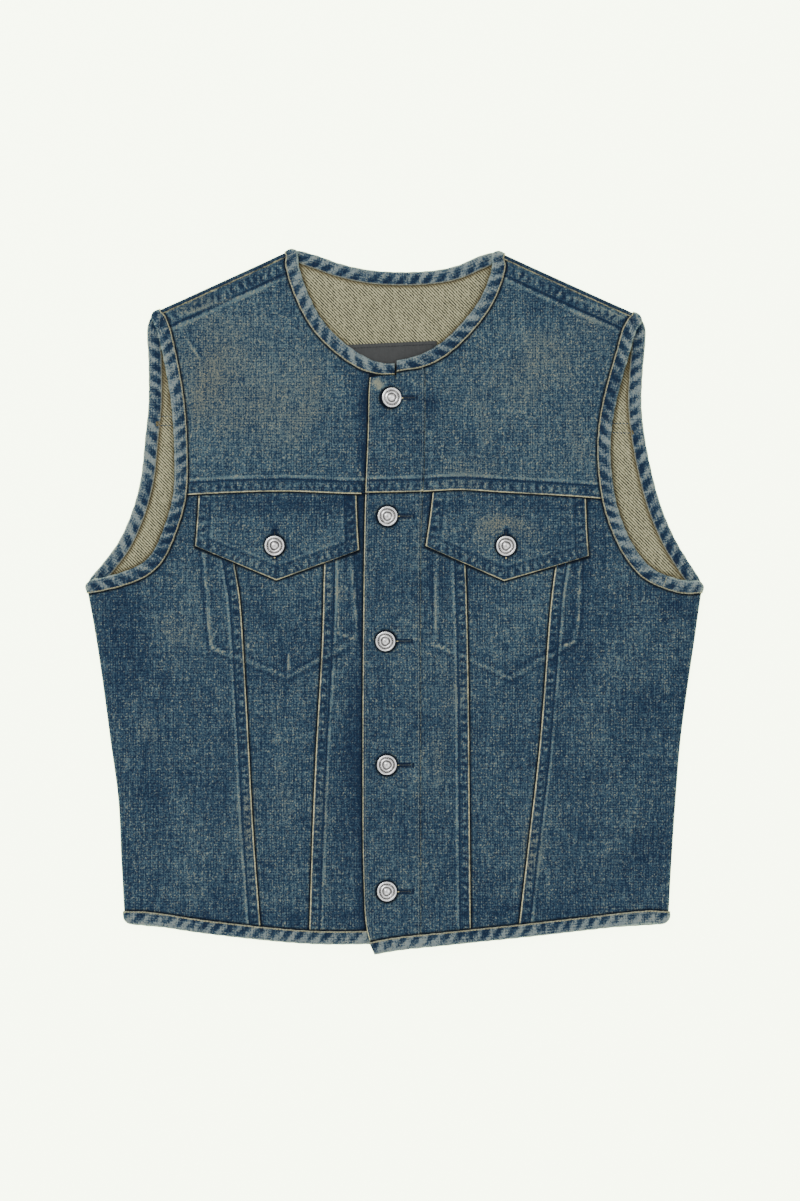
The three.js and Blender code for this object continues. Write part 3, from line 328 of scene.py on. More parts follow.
def vector(x, y, z=0.0):
    return np.array([x, y, z], float)


def unit(v):
    return v / np.maximum(np.linalg.norm(v, axis=-1, keepdims=True), 1e-9)


def ripple(x, y, size, seed, waves=7):
    """Soft uneven waves, about size apart and mostly between -1 and 1."""
    random = np.random.default_rng(seed)
    total = 0
    for _ in range(waves):
        angle, phase = random.uniform(0, 2 * math.pi, 2)
        length = size * random.uniform(0.65, 1.6)
        total = total + np.sin((x * math.cos(angle) + y * math.sin(angle)) * 2 * math.pi / length + phase)
    return total / math.sqrt(waves)


class Line:
    """A line of short chords, measured along its length."""

    def __init__(self, points, cells=1):
        self.points = np.asarray(points, float).reshape(-1, 3)
        steps = np.linalg.norm(np.diff(self.points, axis=0), axis=1)
        self.far = np.concatenate(([0], np.cumsum(steps)))
        self.length = self.far[-1]
        self.cells = cells

    @classmethod
    def through(cls, rows, chords=90):
        """A smooth line through the rows of a table: a centripetal curve, cut into even chords."""
        given = np.array([(row["x"], row["y"], row.get("z", 0)) for row in rows], float)
        if len(given) == 2:
            return cls(given)
        ends = 2 * given[:1] - given[1:2], 2 * given[-1:] - given[-2:-1]
        knots = np.concatenate((ends[0], given, ends[1]))
        share = np.linspace(0, 1, 13)[:, None]
        curve = []
        for before, start, end, after in zip(knots, knots[1:], knots[2:], knots[3:]):
            gaps = [np.linalg.norm(b - a) ** 0.5 for a, b in ((before, start), (start, end), (end, after))]
            first, middle, last = (max(gap, 1e-4) for gap in gaps)
            leaving = (start - before) / first - (end - before) / (first + middle) + (end - start) / middle
            arriving = (end - start) / middle - (after - start) / (middle + last) + (after - end) / last
            leaving, arriving = leaving * middle, arriving * middle
            bend = 2 * start - 2 * end + leaving + arriving
            turn = 3 * end - 3 * start - 2 * leaving - arriving
            curve.append(start + leaving * share + turn * share**2 + bend * share**3)
        fine = cls(np.concatenate([curve[0], *(piece[1:] for piece in curve[1:])]))
        return cls(fine.at(np.linspace(0, 1, chords + 1)))

    def at(self, share):
        far = np.clip(share, 0, 1) * self.length
        return np.stack([np.interp(far, self.far, self.points[:, k]) for k in range(3)], -1)

    def direction(self, share):
        share = np.asarray(share)
        along = self.at(share + 0.004) - self.at(share - 0.004)
        along[..., 2] = 0
        return unit(along)

    def then(self, following):
        return Line(np.concatenate((self.points, following.points[1:])))

    def moved(self, x, y):
        return Line(self.points + vector(x, y))

    def offset(self, distance):
        """The same line, moved to its left by a distance."""
        along = self.direction(self.far / self.length)
        return Line(self.points + distance * np.stack([-along[:, 1], along[:, 0], 0 * along[:, 0]], -1))

    def part(self, start, end):
        low, high = min(start, end), max(start, end)
        share = self.far / self.length
        inner = self.points[(share > low + 1e-4) & (share < high - 1e-4)]
        points = np.concatenate(([self.at(low)], inner, [self.at(high)]))
        return Line(points if start < end else points[::-1], self.cells)

    def in_cells(self, cells):
        self.cells = cells
        return self

    def crossing(self, other):
        """Where this line crosses another, as a share of each."""
        a, c = self.points[:-1, None, :2], other.points[None, :-1, :2]
        r = self.points[1:, None, :2] - a
        s = other.points[None, 1:, :2] - c
        area = r[..., 0] * s[..., 1] - r[..., 1] * s[..., 0]
        area = np.where(np.abs(area) < 1e-9, np.nan, area)
        gap = c - a
        t = (gap[..., 0] * s[..., 1] - gap[..., 1] * s[..., 0]) / area
        w = (gap[..., 0] * r[..., 1] - gap[..., 1] * r[..., 0]) / area
        found = np.argwhere(np.nan_to_num(np.minimum.reduce([t, w, 1 - t, 1 - w]), nan=-1) >= -1e-6)
        if not len(found):
            raise ValueError("two seams that should meet do not cross")
        i, j = found[0]
        return (
            mix(self.far[i], self.far[i + 1], t[i, j]) / self.length,
            mix(other.far[j], other.far[j + 1], w[i, j]) / other.length,
        )

    def meets(self, other):
        return self.crossing(other)[0]

    def nearest(self, x, y):
        """For each point: how far the line is, its height there, how far along, and whether it is left."""
        x, y = np.broadcast_arrays(np.asarray(x, float), np.asarray(y, float))
        flat = np.stack([x.ravel(), y.ravel()], -1)
        out = np.empty((len(flat), 4))
        a, step = self.points[:-1], np.diff(self.points, axis=0)
        square = np.maximum((step[:, :2] ** 2).sum(1), 1e-12)
        for first in range(0, len(flat), 20000):
            here = flat[first:first + 20000, None, :]
            off = here - a[None, :, :2]
            t = np.clip((off * step[None, :, :2]).sum(2) / square, 0, 1)
            miss = off - t[..., None] * step[None, :, :2]
            distance = (miss**2).sum(2)
            k = distance.argmin(1)
            rows = np.arange(len(k))
            along = t[rows, k]
            side = step[k, 0] * off[rows, k, 1] - step[k, 1] * off[rows, k, 0]
            out[first:first + 20000] = np.stack([
                np.sqrt(distance[rows, k]),
                a[k, 2] + along * step[k, 2],
                mix(self.far[k], self.far[k + 1], along),
                np.where(side >= 0, 1, -1),
            ], -1)
        return [out[:, k].reshape(x.shape) for k in range(4)]


def level_line(y):
    return Line([(-400, y, 0), (400, y, 0)])


def upright_line(x):
    return Line([(x, -400, 0), (x, 400, 0)])


class Fold:
    """A fold of the outline, where back and front are one cloth turned over."""

    def __init__(self, rows, out):
        self.outline = Line.through(rows)
        self.out = out

    def inside(self, x, y):
        distance, _, far, _ = self.outline.nearest(x, y)
        foot = self.outline.at(far / self.outline.length)
        return (foot[..., 0] - x) * self.out[0] + (foot[..., 1] - y) * self.out[1] - TANGENT


def away(rows, sign):
    along = unit(vector(rows[1]["x"] - rows[0]["x"], rows[1]["y"] - rows[0]["y"]))
    return vector(-along[1], along[0]) * sign


SHOULDER_FOLD = {side: Fold(SHOULDERS[side], away(SHOULDERS[side], SIGN[side])) for side in SIDES}
SIDE_FOLD = {
    side: Fold([{"x": row[side], "y": row["y"]} for row in SIDE_ROWS], vector(SIGN[side], 0))
    for side in SIDES
}


class Corner:
    """Where a bound edge turns over a fold."""

    def __init__(self, start, end, fold):
        self.across = unit(vector(end[0] - start[0], end[1] - start[1]))
        self.edge = vector(start[0], start[1]) - TANGENT * fold
        self.out = fold


def side_corner(side, y, down):
    outline = SIDE_FOLD[side].outline
    first, second = (
        outline.at(outline.meets(level_line(level))) for level in (y, y - down * BINDING_WIDTH)
    )
    return Corner(first, second, vector(SIGN[side], 0))


def ends_of(rows):
    return [(row["x"], row["y"]) for row in rows]


NECK_CORNER = {side: Corner(*ends_of(SHOULDERS[side]), SHOULDER_FOLD[side].out) for side in SIDES}
SHOULDER_CORNER = {
    side: Corner(*reversed(ends_of(SHOULDERS[side])), SHOULDER_FOLD[side].out) for side in SIDES
}
UNDERARM_CORNER = {side: side_corner(side, UNDERARM_Y, 1) for side in SIDES}
HEM_CORNER = {side: side_corner(side, HEM_CORNER_Y, -1) for side in SIDES}


class FreeEnd:
    """Where a binding stops at the front opening."""

    edge = None
    out = None

    def __init__(self, across, width=BINDING_WIDTH):
        self.across = across
        self.width = width


class Bound:
    """A bound edge in one layer; the cloth lies on its left for inside 1."""

    def __init__(self, rows, inside, start, end):
        def turned(corner, row):
            if corner.edge is None:
                return []
            return [{"x": corner.edge[0], "y": corner.edge[1], "z": row["z"]}]

        self.line = Line.through([*turned(start, rows[0]), *rows, *turned(end, rows[-1])])
        self.inside, self.start, self.end = inside, start, end
        share = self.line.far / self.line.length
        self.cloth = Line(self.line.points + CLOTH_INSET * self.across(share))
        first_way = start.out if start.out is not None else -self.line.direction(0.0)
        last_way = end.out if end.out is not None else self.line.direction(1.0)
        first, last = self.cloth.points[0], self.cloth.points[-1]
        self.first = Line([first, first + BEYOND * first_way])
        self.last = Line([last, last + BEYOND * last_way])
        self.whole = self.first.part(1, 0).then(self.cloth).then(self.last)

    def across(self, share):
        share = np.asarray(share, float)
        along = self.line.direction(share)
        normal = np.stack([-along[..., 1], along[..., 0], 0 * along[..., 0]], -1) * self.inside
        near_start = 1 - ease(0, SQUARE_TO_FOLD, share * self.line.length)[..., None]
        near_end = 1 - ease(0, SQUARE_TO_FOLD, (1 - share) * self.line.length)[..., None]
        normal = mix(normal, self.start.across, near_start)
        return unit(mix(normal, self.end.across, near_end))

    def leaf(self, more):
        """A line just past the inner edge of the binding."""
        return self.line.offset(self.inside * (BINDING_WIDTH + more))

    def width(self, share):
        narrow = getattr(self.end, "width", BINDING_WIDTH)
        return mix(narrow, BINDING_WIDTH, ease(0, NARROWING, (1 - np.asarray(share)) * self.line.length))


EDGE = {}
for _side in SIDES:
    _arm = (-SIGN[_side], SHOULDER_CORNER[_side], UNDERARM_CORNER[_side])
    EDGE["arm_front_" + _side] = Bound(ARMHOLE_FRONT[_side], *_arm)
    EDGE["arm_back_" + _side] = Bound(ARMHOLE_BACK[_side], *_arm)
    EDGE["neck_" + _side] = Bound(
        NECK_FRONT[_side], SIGN[_side], NECK_CORNER[_side], FreeEnd(vector(0, -1), NARROW_END)
    )
EDGE["neck_back"] = Bound(NECK_BACK, -1, NECK_CORNER["right"], NECK_CORNER["left"])
EDGE["hem_right"] = Bound(HEM_FRONT["right"], -1, FreeEnd(vector(0, 1)), HEM_CORNER["right"])
EDGE["hem_left"] = Bound(HEM_FRONT["left"], 1, FreeEnd(vector(-0.42, 0.91)), HEM_CORNER["left"])
EDGE["hem_back"] = Bound(HEM_BACK, 1, HEM_CORNER["right"], HEM_CORNER["left"])
BACK_EDGES = ("neck_back", "arm_back_right", "arm_back_left", "hem_back")
OPENINGS = ("neck_right", "neck_left", "arm_front_right", "arm_front_left")


def front_edges(side):
    return ("neck_" + side, "arm_front_" + side, "hem_" + side)


def from_edges(names, x, y):
    """How far the nearest of these bound edges is, and its height there."""
    least, height = np.full(np.shape(x), np.inf), np.zeros(np.shape(x))
    for name in names:
        distance, z, _, _ = EDGE[name].line.nearest(x, y)
        closer = distance < least
        least, height = np.where(closer, distance, least), np.where(closer, z, height)
    return least, height


def near_edges(names, x, y, own):
    distance, height = from_edges(names, x, y)
    return mix(height, own, ease(FLAT_NEAR_BINDING, LEVEL_FROM_BINDING, distance))


def back_height(x, y):
    return near_edges(BACK_EDGES, x, y, BACK_Z)


def swell(x, y):
    return sum(
        row["rise"] * (1 - ease(0, row["reach"], np.hypot(x - row["x"], y - row["y"]))) for row in SWELLS
    )


def front_height(side, x, y):
    lap = LAP_RISE * (1 - ease(*LAP_FALLS, x)) if side == "left" else 0
    quiet = ease(*SWELL_FROM_MIDDLE, np.abs(x))
    inside = np.where(y < UNDERARM_Y, SIDE_FOLD[side].inside(x, y), SHOULDER_FOLD[side].inside(x, y))
    own = mix(back_height(x, y), BACK_Z + swell(x, y) * quiet, ease(*LEVEL_FROM_FOLD, inside))
    free = near_edges(front_edges(side), x, y, own + LAYER_RISE + lap)
    if side == "right":
        return free
    return np.where(x > UNDER_EDGE_X + GAP, free, np.maximum(free, front_height("right", x, y) + LAP_RISE))


def lay(x, y, height, facing, folds):
    """Points of the middle of a layer, which goes round a fold past its turning line."""
    points = np.stack([x, y, height(x, y)], -1)
    for fold in folds:
        inside = fold.inside(x, y)
        past = inside < 0
        if not past.any():
            continue
        px, py, depth = x[past], y[past], inside[past]
        foot = np.stack([px + fold.out[0] * depth, py + fold.out[1] * depth], -1)
        angle = -depth / ROLL
        flat = np.maximum(0, angle - math.pi) * ROLL
        turned = np.minimum(angle, math.pi)
        out = ROLL * np.sin(turned) - flat
        start = height(foot[:, 0], foot[:, 1])
        points[past, 0] = foot[:, 0] + fold.out[0] * out
        points[past, 1] = foot[:, 1] + fold.out[1] * out
        points[past, 2] = start - facing * ROLL * (1 - np.cos(turned))
    return points


# Seams as they show: a raised band on one side of each, with the cloth puckered along it
class Seam:
    """A felled seam: its band lies on the side given, 1 for left of the way the line runs."""

    def __init__(self, line, side, width, rise, seed):
        self.line, self.side, self.width, self.rise, self.seed = line, side, width, rise, seed

    def measure(self, x, y):
        """Signed distance, above nought on the band's side, and how far along."""
        distance, _, far, left = self.line.nearest(x, y)
        return distance * left * self.side, far


def pucker(far, distance, seed, pitch):
    """Uneven ridges across a seam, between -1 and 1, that lean one way."""
    random = np.random.default_rng(seed)
    phase = random.uniform(0, 6.28, 4)
    wander = 0.9 * np.sin(far / 31 + phase[0]) + 0.8 * np.sin(far / 13.7 + phase[1])
    wave = np.sin(far * 2 * math.pi / pitch + wander + distance / 4.2)
    uneven = 0.65 + 0.35 * np.sin(far / 17.3 + phase[2]) * np.sin(far / 7.1 + phase[3])
    return wave * uneven


BAND = {"width": 10.5, "rise": 1.05}
YOKE_BAND = 12.5
SHOULDER_BAND = 15.0
FLAP_BULK = 0.95


YOKE_LINE = {side: Line.through(YOKE_SEAM[side]) for side in SIDES}
OUTER_LINE = {side: Line.through(OUTER_SEAM[side]) for side in SIDES}
INNER_LINE = {side: Line.through(INNER_SEAM[side]) for side in SIDES}
BACK_YOKE_LINE = Line.through(BACK_YOKE_SEAM)
PLACKET_SEAM_LINE = Line.through(PLACKET_SEAM)
PLACKET_EDGE_LINE = Line.through(PLACKET_EDGE)


def outer_band(side):
    return Seam(OUTER_LINE[side], SIGN[side], BAND["width"], BAND["rise"], 11 + SIGN[side])


def inner_band(side):
    return Seam(INNER_LINE[side], -SIGN[side], BAND["width"], BAND["rise"], 21 + SIGN[side])


def shoulder_line(side, distance):
    """A line beside the shoulder fold, at a distance out over it from where the turn begins."""
    ends = np.array([vector(*p) for p in ends_of(SHOULDERS[side])])
    along = unit(ends[1] - ends[0])
    shift = SHOULDER_FOLD[side].out * (distance - TANGENT)
    return Line([ends[0] - BEYOND * along + shift, ends[1] + BEYOND * along + shift])


def outline_of(form):
    """The left side, point and right side of a flap or bag as one line."""
    left, right = Line.through(form["left"]), Line.through(form["right"])
    return Line(np.concatenate((left.points, [vector(*form["point"])], right.points[::-1])))


BAG_LINE = {side: outline_of(BAG[side]) for side in SIDES}
FLAP_LINE = {side: outline_of(FLAP[side]) for side in SIDES}


def inside_of(line, x, y):
    """Distance from the outline of a flap or bag, above nought inside it."""
    distance, _, _, left = line.nearest(x, y)
    return distance * left


def beside(row, x, y):
    """Where points lie by a row's line: how far along it, as a share, and how far to its left."""
    along = vector(row["x2"] - row["x1"], row["y2"] - row["y1"])
    length = np.linalg.norm(along)
    along = along / length
    dx, dy = x - row["x1"], y - row["y1"]
    return (dx * along[0] + dy * along[1]) / length, dy * along[0] - dx * along[1]


def creases(rows, x, y):
    """Ridges and troughs that are soft across and fade at both ends."""
    total = np.zeros(np.shape(x))
    for row in rows:
        far, off = beside(row, x, y)
        off = off + 5 * np.sin(far * 3.1 + row["x1"])
        ends = ease(-0.25, 0.25, far) * (1 - ease(0.75, 1.25, far))
        total += row["rise"] * ends * np.exp(-((off / (row["width"] * 0.5)) ** 2))
    return total


def wear_and_shade(rows, x, y):
    """Pale worn lines and the painted shade beside them: how pale, and how dark."""
    pale, dark = np.zeros(np.shape(x)), np.zeros(np.shape(x))
    for row in rows:
        far, off = beside(row, x, y)
        half = row["width"] * 0.6
        ends = row["strength"] * ease(-0.15, 0.1, far) * (1 - ease(0.9, 1.15, far))
        from_dark = (off - row["beside"] * 2.2 * half) / (1.2 * half)
        pale = np.maximum(pale, 1.2 * ends * np.exp(-((off / half) ** 2)))
        dark = np.maximum(dark, 0.6 * ends * np.exp(-(from_dark**2)))
    return pale, dark


def tones(rows, x, y):
    total = 0
    for row in rows:
        off = ((x - row["x"]) / row["across"]) ** 2 + ((y - row["y"]) / row["along"]) ** 2
        total = total + row["strength"] * np.exp(-off)
    return total


NO_EDGE = 60.0  # millimetres to an edge where none is near
NO_BAND = 9.0  # widths of a band off it, where none is near


class Relief:
    """Rise of a piece over its plain form, and what its finish reads at each point, in millimetres
    where it is a distance: edge, from its own nearest folded edge; gap, from the nearest edge that
    lies over it, for a painted shadow; band, the share across the band of a seam, and along, how far
    along that; rub, where it is worn pale; pucker, the ridges along seams; and tone, where the dye has
    faded or stayed, with painted shade added by ridges, buttons and edges."""

    def __init__(self, x, y, names, crease_rows, tone_rows, wear_and_shade_rows, level=1.0):
        self.x, self.y = x, y
        self.from_bound, _ = from_edges(names, x, y)
        self.uncovered = 1.0
        self.rise = 0.28 * ripple(x, y, 80, 5) + 0.1 * ripple(x, y, 26, 6) + creases(crease_rows, x, y)
        self.rise = self.rise * ease(9, 22, self.from_bound) * level
        self.edge = np.full(np.shape(x), NO_EDGE)
        self.gap = np.full(np.shape(x), NO_EDGE)
        self.share = np.full(np.shape(x), NO_BAND)
        self.along = np.zeros(np.shape(x))
        self.pucker = np.zeros(np.shape(x))
        self.rub, dark = wear_and_shade(wear_and_shade_rows, x, y)
        # Tone lighter on raised cloth, as wear and painted light, and painted shade beside the worn lines
        self.tone = tones(tone_rows, x, y) + 0.25 * self.rise - dark
        self.rise += 0.3 * self.rub - 0.25 * dark
        # The bindings gather the cloth beside them, and a painted shadow lies by their inner edge
        for k, name in enumerate(names):
            distance, _, far, _ = EDGE[name].line.nearest(x, y)
            beyond = distance - EDGE[name].width(far / EDGE[name].line.length)
            self.gather(beyond, far, 40 + k, 9.5, 0.55)
            self.under(beyond)

    def values(self):
        return {
            "edge": self.edge, "gap": self.gap, "band": self.share, "along": self.along, "rub": self.rub,
            "pucker": self.pucker, "tone": self.tone,
        }

    def gather(self, distance, far, seed, pitch, strength):
        """Ridges that fade with the distance from a row of stitches."""
        fade = np.exp(-np.abs(distance) / sizes().pucker_reach) * strength
        wave = pucker(far, distance, seed, pitch) * fade
        self.pucker += wave
        self.rise += wave * sizes().pucker_height

    def gather_along(self, line, seed, pitch, strength, off=0):
        distance, _, far, _ = line.nearest(self.x, self.y)
        self.gather(distance - off, far, seed, pitch, strength)
        return distance

    def under(self, distance):
        """Something lies over this piece up to an edge, from which this is the distance, for a painted shadow
        by that edge.
        """
        self.gap = np.minimum(self.gap, distance)
        return self

    def band(self, seam, raised, extra=0, folded=0.0):
        """The band of a felled seam on this piece, or its neighbour's side of it. Folded is how far the
        worn line of its edge is drawn in."""
        distance, far = seam.measure(self.x, self.y)
        self.gather(distance, far, seam.seed, 10.5, 0.9)
        if not raised:
            # The neighbour's band lies over this side: a painted shadow by its edge
            self.under(-distance)
            return
        share = distance / seam.width
        nearer = (share > -0.3) & (np.abs(share) < np.abs(self.share))
        self.share = np.where(nearer, share, self.share)
        self.along = np.where(nearer, far, self.along)
        settle = mix(0.3, 1, ease(11, 17, self.from_bound)) * self.uncovered
        over = (1 - ease(seam.width - 1.6, seam.width + 1.6, distance)) * ease(-3, 0, distance)
        self.rise += (seam.rise + extra) * over * settle
        self.rise += 0.3 * np.exp(-(((distance - seam.width) / 1.7) ** 2)) * settle
        if folded is not None:
            self.edge = np.minimum(self.edge, np.abs(distance) + folded)

    def under_placket(self):
        # A painted shadow beside the placket's edge, and painted shade in the tone there
        distance, _, _, left = PLACKET_EDGE_LINE.nearest(self.x, self.y)
        self.under(-distance * left)
        self.tone -= 1.1 * np.exp(-((distance / 5) ** 2))

    def bag(self, side):
        """The outline that a pocket bag presses into the front, worn pale on it, with painted shade beside
        it.
        """
        inside = inside_of(BAG_LINE[side], self.x, self.y)
        below = 1 - ease(70, 84, self.y)
        ridge = np.exp(-(((inside - 1) / 1.5) ** 2)) * below
        hollow = np.exp(-(((inside + 2.4) / 1.6) ** 2)) + 0.7 * np.exp(-(((inside - 4.6) / 1.8) ** 2))
        self.rise += 0.45 * ease(-2.5, 2, inside) + 0.5 * ridge
        self.rub = np.maximum(self.rub, 0.5 * ridge)
        self.tone -= 0.7 * hollow * below
        return self

    def button(self, x, y, reach=17):
        from_middle = np.hypot(self.x - x, self.y - y)
        # A dip round the button, painted shade in the tone, and a painted shadow by its rim
        self.rise -= 0.35 * np.exp(-((from_middle / reach) ** 2))
        self.tone -= 0.45 * np.exp(-((from_middle / 12) ** 2))
        self.under(from_middle - BUTTON_RADIUS - 0.2)


# Four-sided panels
class Edge:
    """One edge of a panel: lines end to end, with the shares at which they meet."""

    def __init__(self, lines, breaks=None):
        self.lines = lines
        self.length = sum(line.length for line in lines)
        ends = np.cumsum([0] + [line.length for line in lines]) / self.length
        self.breaks = list(ends) if breaks is None else list(breaks)

    def at(self, share):
        share = np.asarray(share, float)
        k = np.clip(np.searchsorted(self.breaks, share, side="left") - 1, 0, len(self.lines) - 1)
        out = np.empty(share.shape + (3,))
        for i, line in enumerate(self.lines):
            here = k == i
            start, end = self.breaks[i], self.breaks[i + 1]
            out[here] = line.at((share[here] - start) / (end - start))
        return out

    @property
    def stops(self):
        found = []
        for k, line in enumerate(self.lines):
            found += list(np.linspace(self.breaks[k], self.breaks[k + 1], line.cells + 1))
        return found

    def turned(self):
        return Edge([line.part(1, 0) for line in self.lines][::-1], [1 - b for b in self.breaks][::-1])


NEAR = 0.01  # share of a panel over which its edges are measured


class Patch:
    """A panel between four edges, each a list of lines that are cut where they cross the next,
    round the panel."""

    def __init__(self, bottom, right, top, left):
        loop = [*bottom, *right, *top, *left]
        cuts = [line.crossing(loop[(i + 1) % len(loop)]) for i, line in enumerate(loop)]
        parts = [line.part(cuts[i - 1][1], cuts[i][0]) for i, line in enumerate(loop)]
        counts = np.cumsum([len(bottom), len(right), len(top)])
        self.bottom = Edge(parts[:counts[0]])
        self.right = Edge(parts[counts[0]:counts[1]])
        self.top = Edge(parts[counts[1]:counts[2]]).turned()
        self.left = Edge(parts[counts[2]:]).turned()
        for a, b in ((self.bottom, self.top), (self.left, self.right)):
            if len(a.lines) == len(b.lines):
                a.breaks = b.breaks = [(p + q) / 2 for p, q in zip(a.breaks, b.breaks)]

    def flat(self, u, v):
        low = mix(self.bottom.at(0.0), self.bottom.at(1.0), u[..., None])
        high = mix(self.top.at(0.0), self.top.at(1.0), u[..., None])
        across = mix(self.bottom.at(u), self.top.at(u), v[..., None])
        upward = mix(self.left.at(v), self.right.at(v), u[..., None])
        return across + upward - mix(low, high, v[..., None])

    def grid(self, cell, across=None, up=None):
        """Flat x and y of every corner of its cells."""
        columns = marks(self.bottom, self.top, cell, **(across or {}))
        rows = marks(self.left, self.right, cell, **(up or {}))
        u, v = columns[:, 0], rows[:, 0]

        def share_of_mm(start, end):
            return NEAR / np.linalg.norm(end - start, axis=-1).clip(1e-6)

        zero, one = np.zeros_like(v), np.ones_like(v)
        left = share_of_mm(self.flat(zero, v), self.flat(zero + NEAR, v))
        right = share_of_mm(self.flat(one - NEAR, v), self.flat(one, v))
        zero, one = np.zeros_like(u), np.ones_like(u)
        low = share_of_mm(self.flat(u, zero), self.flat(u, zero + NEAR))
        high = share_of_mm(self.flat(u, one - NEAR), self.flat(u, one))
        uu = u[None, :] + columns[None, :, 1] * mix(left[:, None], right[:, None], u[None, :])
        vv = v[:, None] + rows[:, None, 1] * mix(low[None, :], high[None, :], v[:, None])
        points = self.flat(uu, vv)
        return points[..., 0], points[..., 1]


def marks(a, b, cell, start=GAP / 2, end=GAP / 2, first=(), last=(), corners=()):
    """Where the cells of a panel begin: a share of its width, and millimetres more."""
    length = max(a.length, b.length)
    shares = sorted({round(share, 6) for share in (*a.stops, *b.stops, *corners)})
    rows = [(0, mm) for mm in first] + [(0, start)]
    for i in range(1, len(shares)):
        cells = max(1, round((shares[i] - shares[i - 1]) * length / cell))
        mm_from = start if i == 1 else 0
        mm_to = -end if i == len(shares) - 1 else 0
        for k in range(1, cells + 1):
            rows.append((mix(shares[i - 1], shares[i], k / cells), mix(mm_from, mm_to, k / cells)))
    return np.array(rows + [(1, -mm) for mm in last], float)


def mesh_of(name, bm):
    mesh = bpy.data.meshes.new(name)
    bm.to_mesh(mesh)
    bm.free()
    return mesh


def riding(name, mesh, finishes):
    """A piece that rides on the vest."""
    for made in finishes:
        mesh.materials.append(made)
    piece = bpy.data.objects.new(name, mesh)
    bpy.context.scene.collection.objects.link(piece)
    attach(piece, "root")
    return piece


def grid_mesh(name, points, outward, values=None, uv=None, finishes=(), thickness=CLOTH, closed=False):
    """A grid of cells moved onto points, rows by columns, in millimetres. Its faces are turned to
    outward; values are attributes of its points, and uv is its pattern's own map, in metres."""
    rows, columns = points.shape[:2]
    bm = bmesh.new()
    bmesh.ops.create_grid(bm, x_segments=columns - 1, y_segments=rows - 1, size=1)
    mesh = mesh_of(name, bm)
    count = len(mesh.vertices)
    flat = np.empty(count * 3)
    mesh.vertices.foreach_get("co", flat)
    flat = flat.reshape(-1, 3)
    span = flat.max(0) - flat.min(0)
    i = np.rint((flat[:, 0] - flat[:, 0].min()) / span[0] * (columns - 1)).astype(int)
    j = np.rint((flat[:, 1] - flat[:, 1].min()) / span[1] * (rows - 1)).astype(int)
    mesh.vertices.foreach_set("co", (points[j, i] * MM).ravel())
    for key, value in (values or {}).items():
        attribute = mesh.attributes.new(key, "FLOAT", "POINT")
        attribute.data.foreach_set("value", np.broadcast_to(value, (rows, columns))[j, i].astype(float))
    if uv is not None:
        layer = mesh.uv_layers.new(name="Weave")
        loops = np.empty(len(mesh.loops), int)
        mesh.loops.foreach_get("vertex_index", loops)
        layer.data.foreach_set("uv", uv[j, i][loops].ravel())
    if closed:
        bm = bmesh.new()
        bm.from_mesh(mesh)
        bmesh.ops.remove_doubles(bm, verts=bm.verts, dist=1e-6)
        bm.to_mesh(mesh)
        bm.free()
    across = points[:, 1:] - points[:, :-1]
    upward = points[1:] - points[:-1]
    facing = np.cross(across[:-1], upward[:, :-1])
    if (facing * np.broadcast_to(outward, points.shape)[:-1, :-1]).sum() < 0:
        mesh.flip_normals()
    mesh.polygons.foreach_set("use_smooth", np.ones(len(mesh.polygons), bool))
    piece = riding(name, mesh, finishes)
    wall = piece.modifiers.new("thickness", "SOLIDIFY")
    wall.thickness = thickness * MM
    wall.offset = 0
    wall.material_offset = len(finishes) - 1
    wall.use_quality_normals = True
    return piece


def declare_cloth(piece, plain):
    """Hides the CAD part that a sheet of cloth, laid flat, replaces; the width, length and area of its plain
    form are worked out but not used.
    """
    width = np.linalg.norm(np.diff(plain, axis=1), axis=-1).sum(1).max() * MM
    length = np.linalg.norm(np.diff(plain, axis=0), axis=-1).sum(0).max() * MM
    one, other = plain[1:, 1:] - plain[:-1, :-1], plain[1:, :-1] - plain[:-1, 1:]
    area = float(np.linalg.norm(np.cross(one, other), axis=-1).sum() / 2) * MM * MM
    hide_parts(piece.name.removesuffix("_cloth"))
    short, long = sorted((width, length))
    area = min(area, short * long)


# Sizes and colours that a user would change
def length(name, description, default, least):
    return FloatProperty(name=name, description=description, default=default, min=least, unit="LENGTH",
                         precision=4)


def tint(name, description, default):
    return FloatVectorProperty(name=name, description=description, subtype="COLOR", size=3, min=0, max=1,
                               default=default)


class VestSizes(bpy.types.PropertyGroup):
    """Sizes of the cloth's relief and of the sewing"""

    front_cell: length("Front cell", "Size of a cell of the front panels", 0.0022, 0.001)
    back_cell: length("Back cell", "Size of a cell of the back panels", 0.004, 0.001)
    binding_cell: length("Binding cell", "Length of a cell of the bindings", 0.0018, 0.0008)
    stitch_pitch: length("Stitch", "From one stitch to the next", 0.0031, 0.001)
    thread: length("Thread", "Thickness of the sewing thread", 0.0006, 0.0002)
    pucker_height: FloatProperty(
        name="Pucker", description="Height in millimetres of the ridges along the seams", default=0.34, min=0,
    )
    pucker_reach: FloatProperty(
        name="Pucker reach", description="How far in millimetres they run off the seam", default=6.5, min=1,
    )


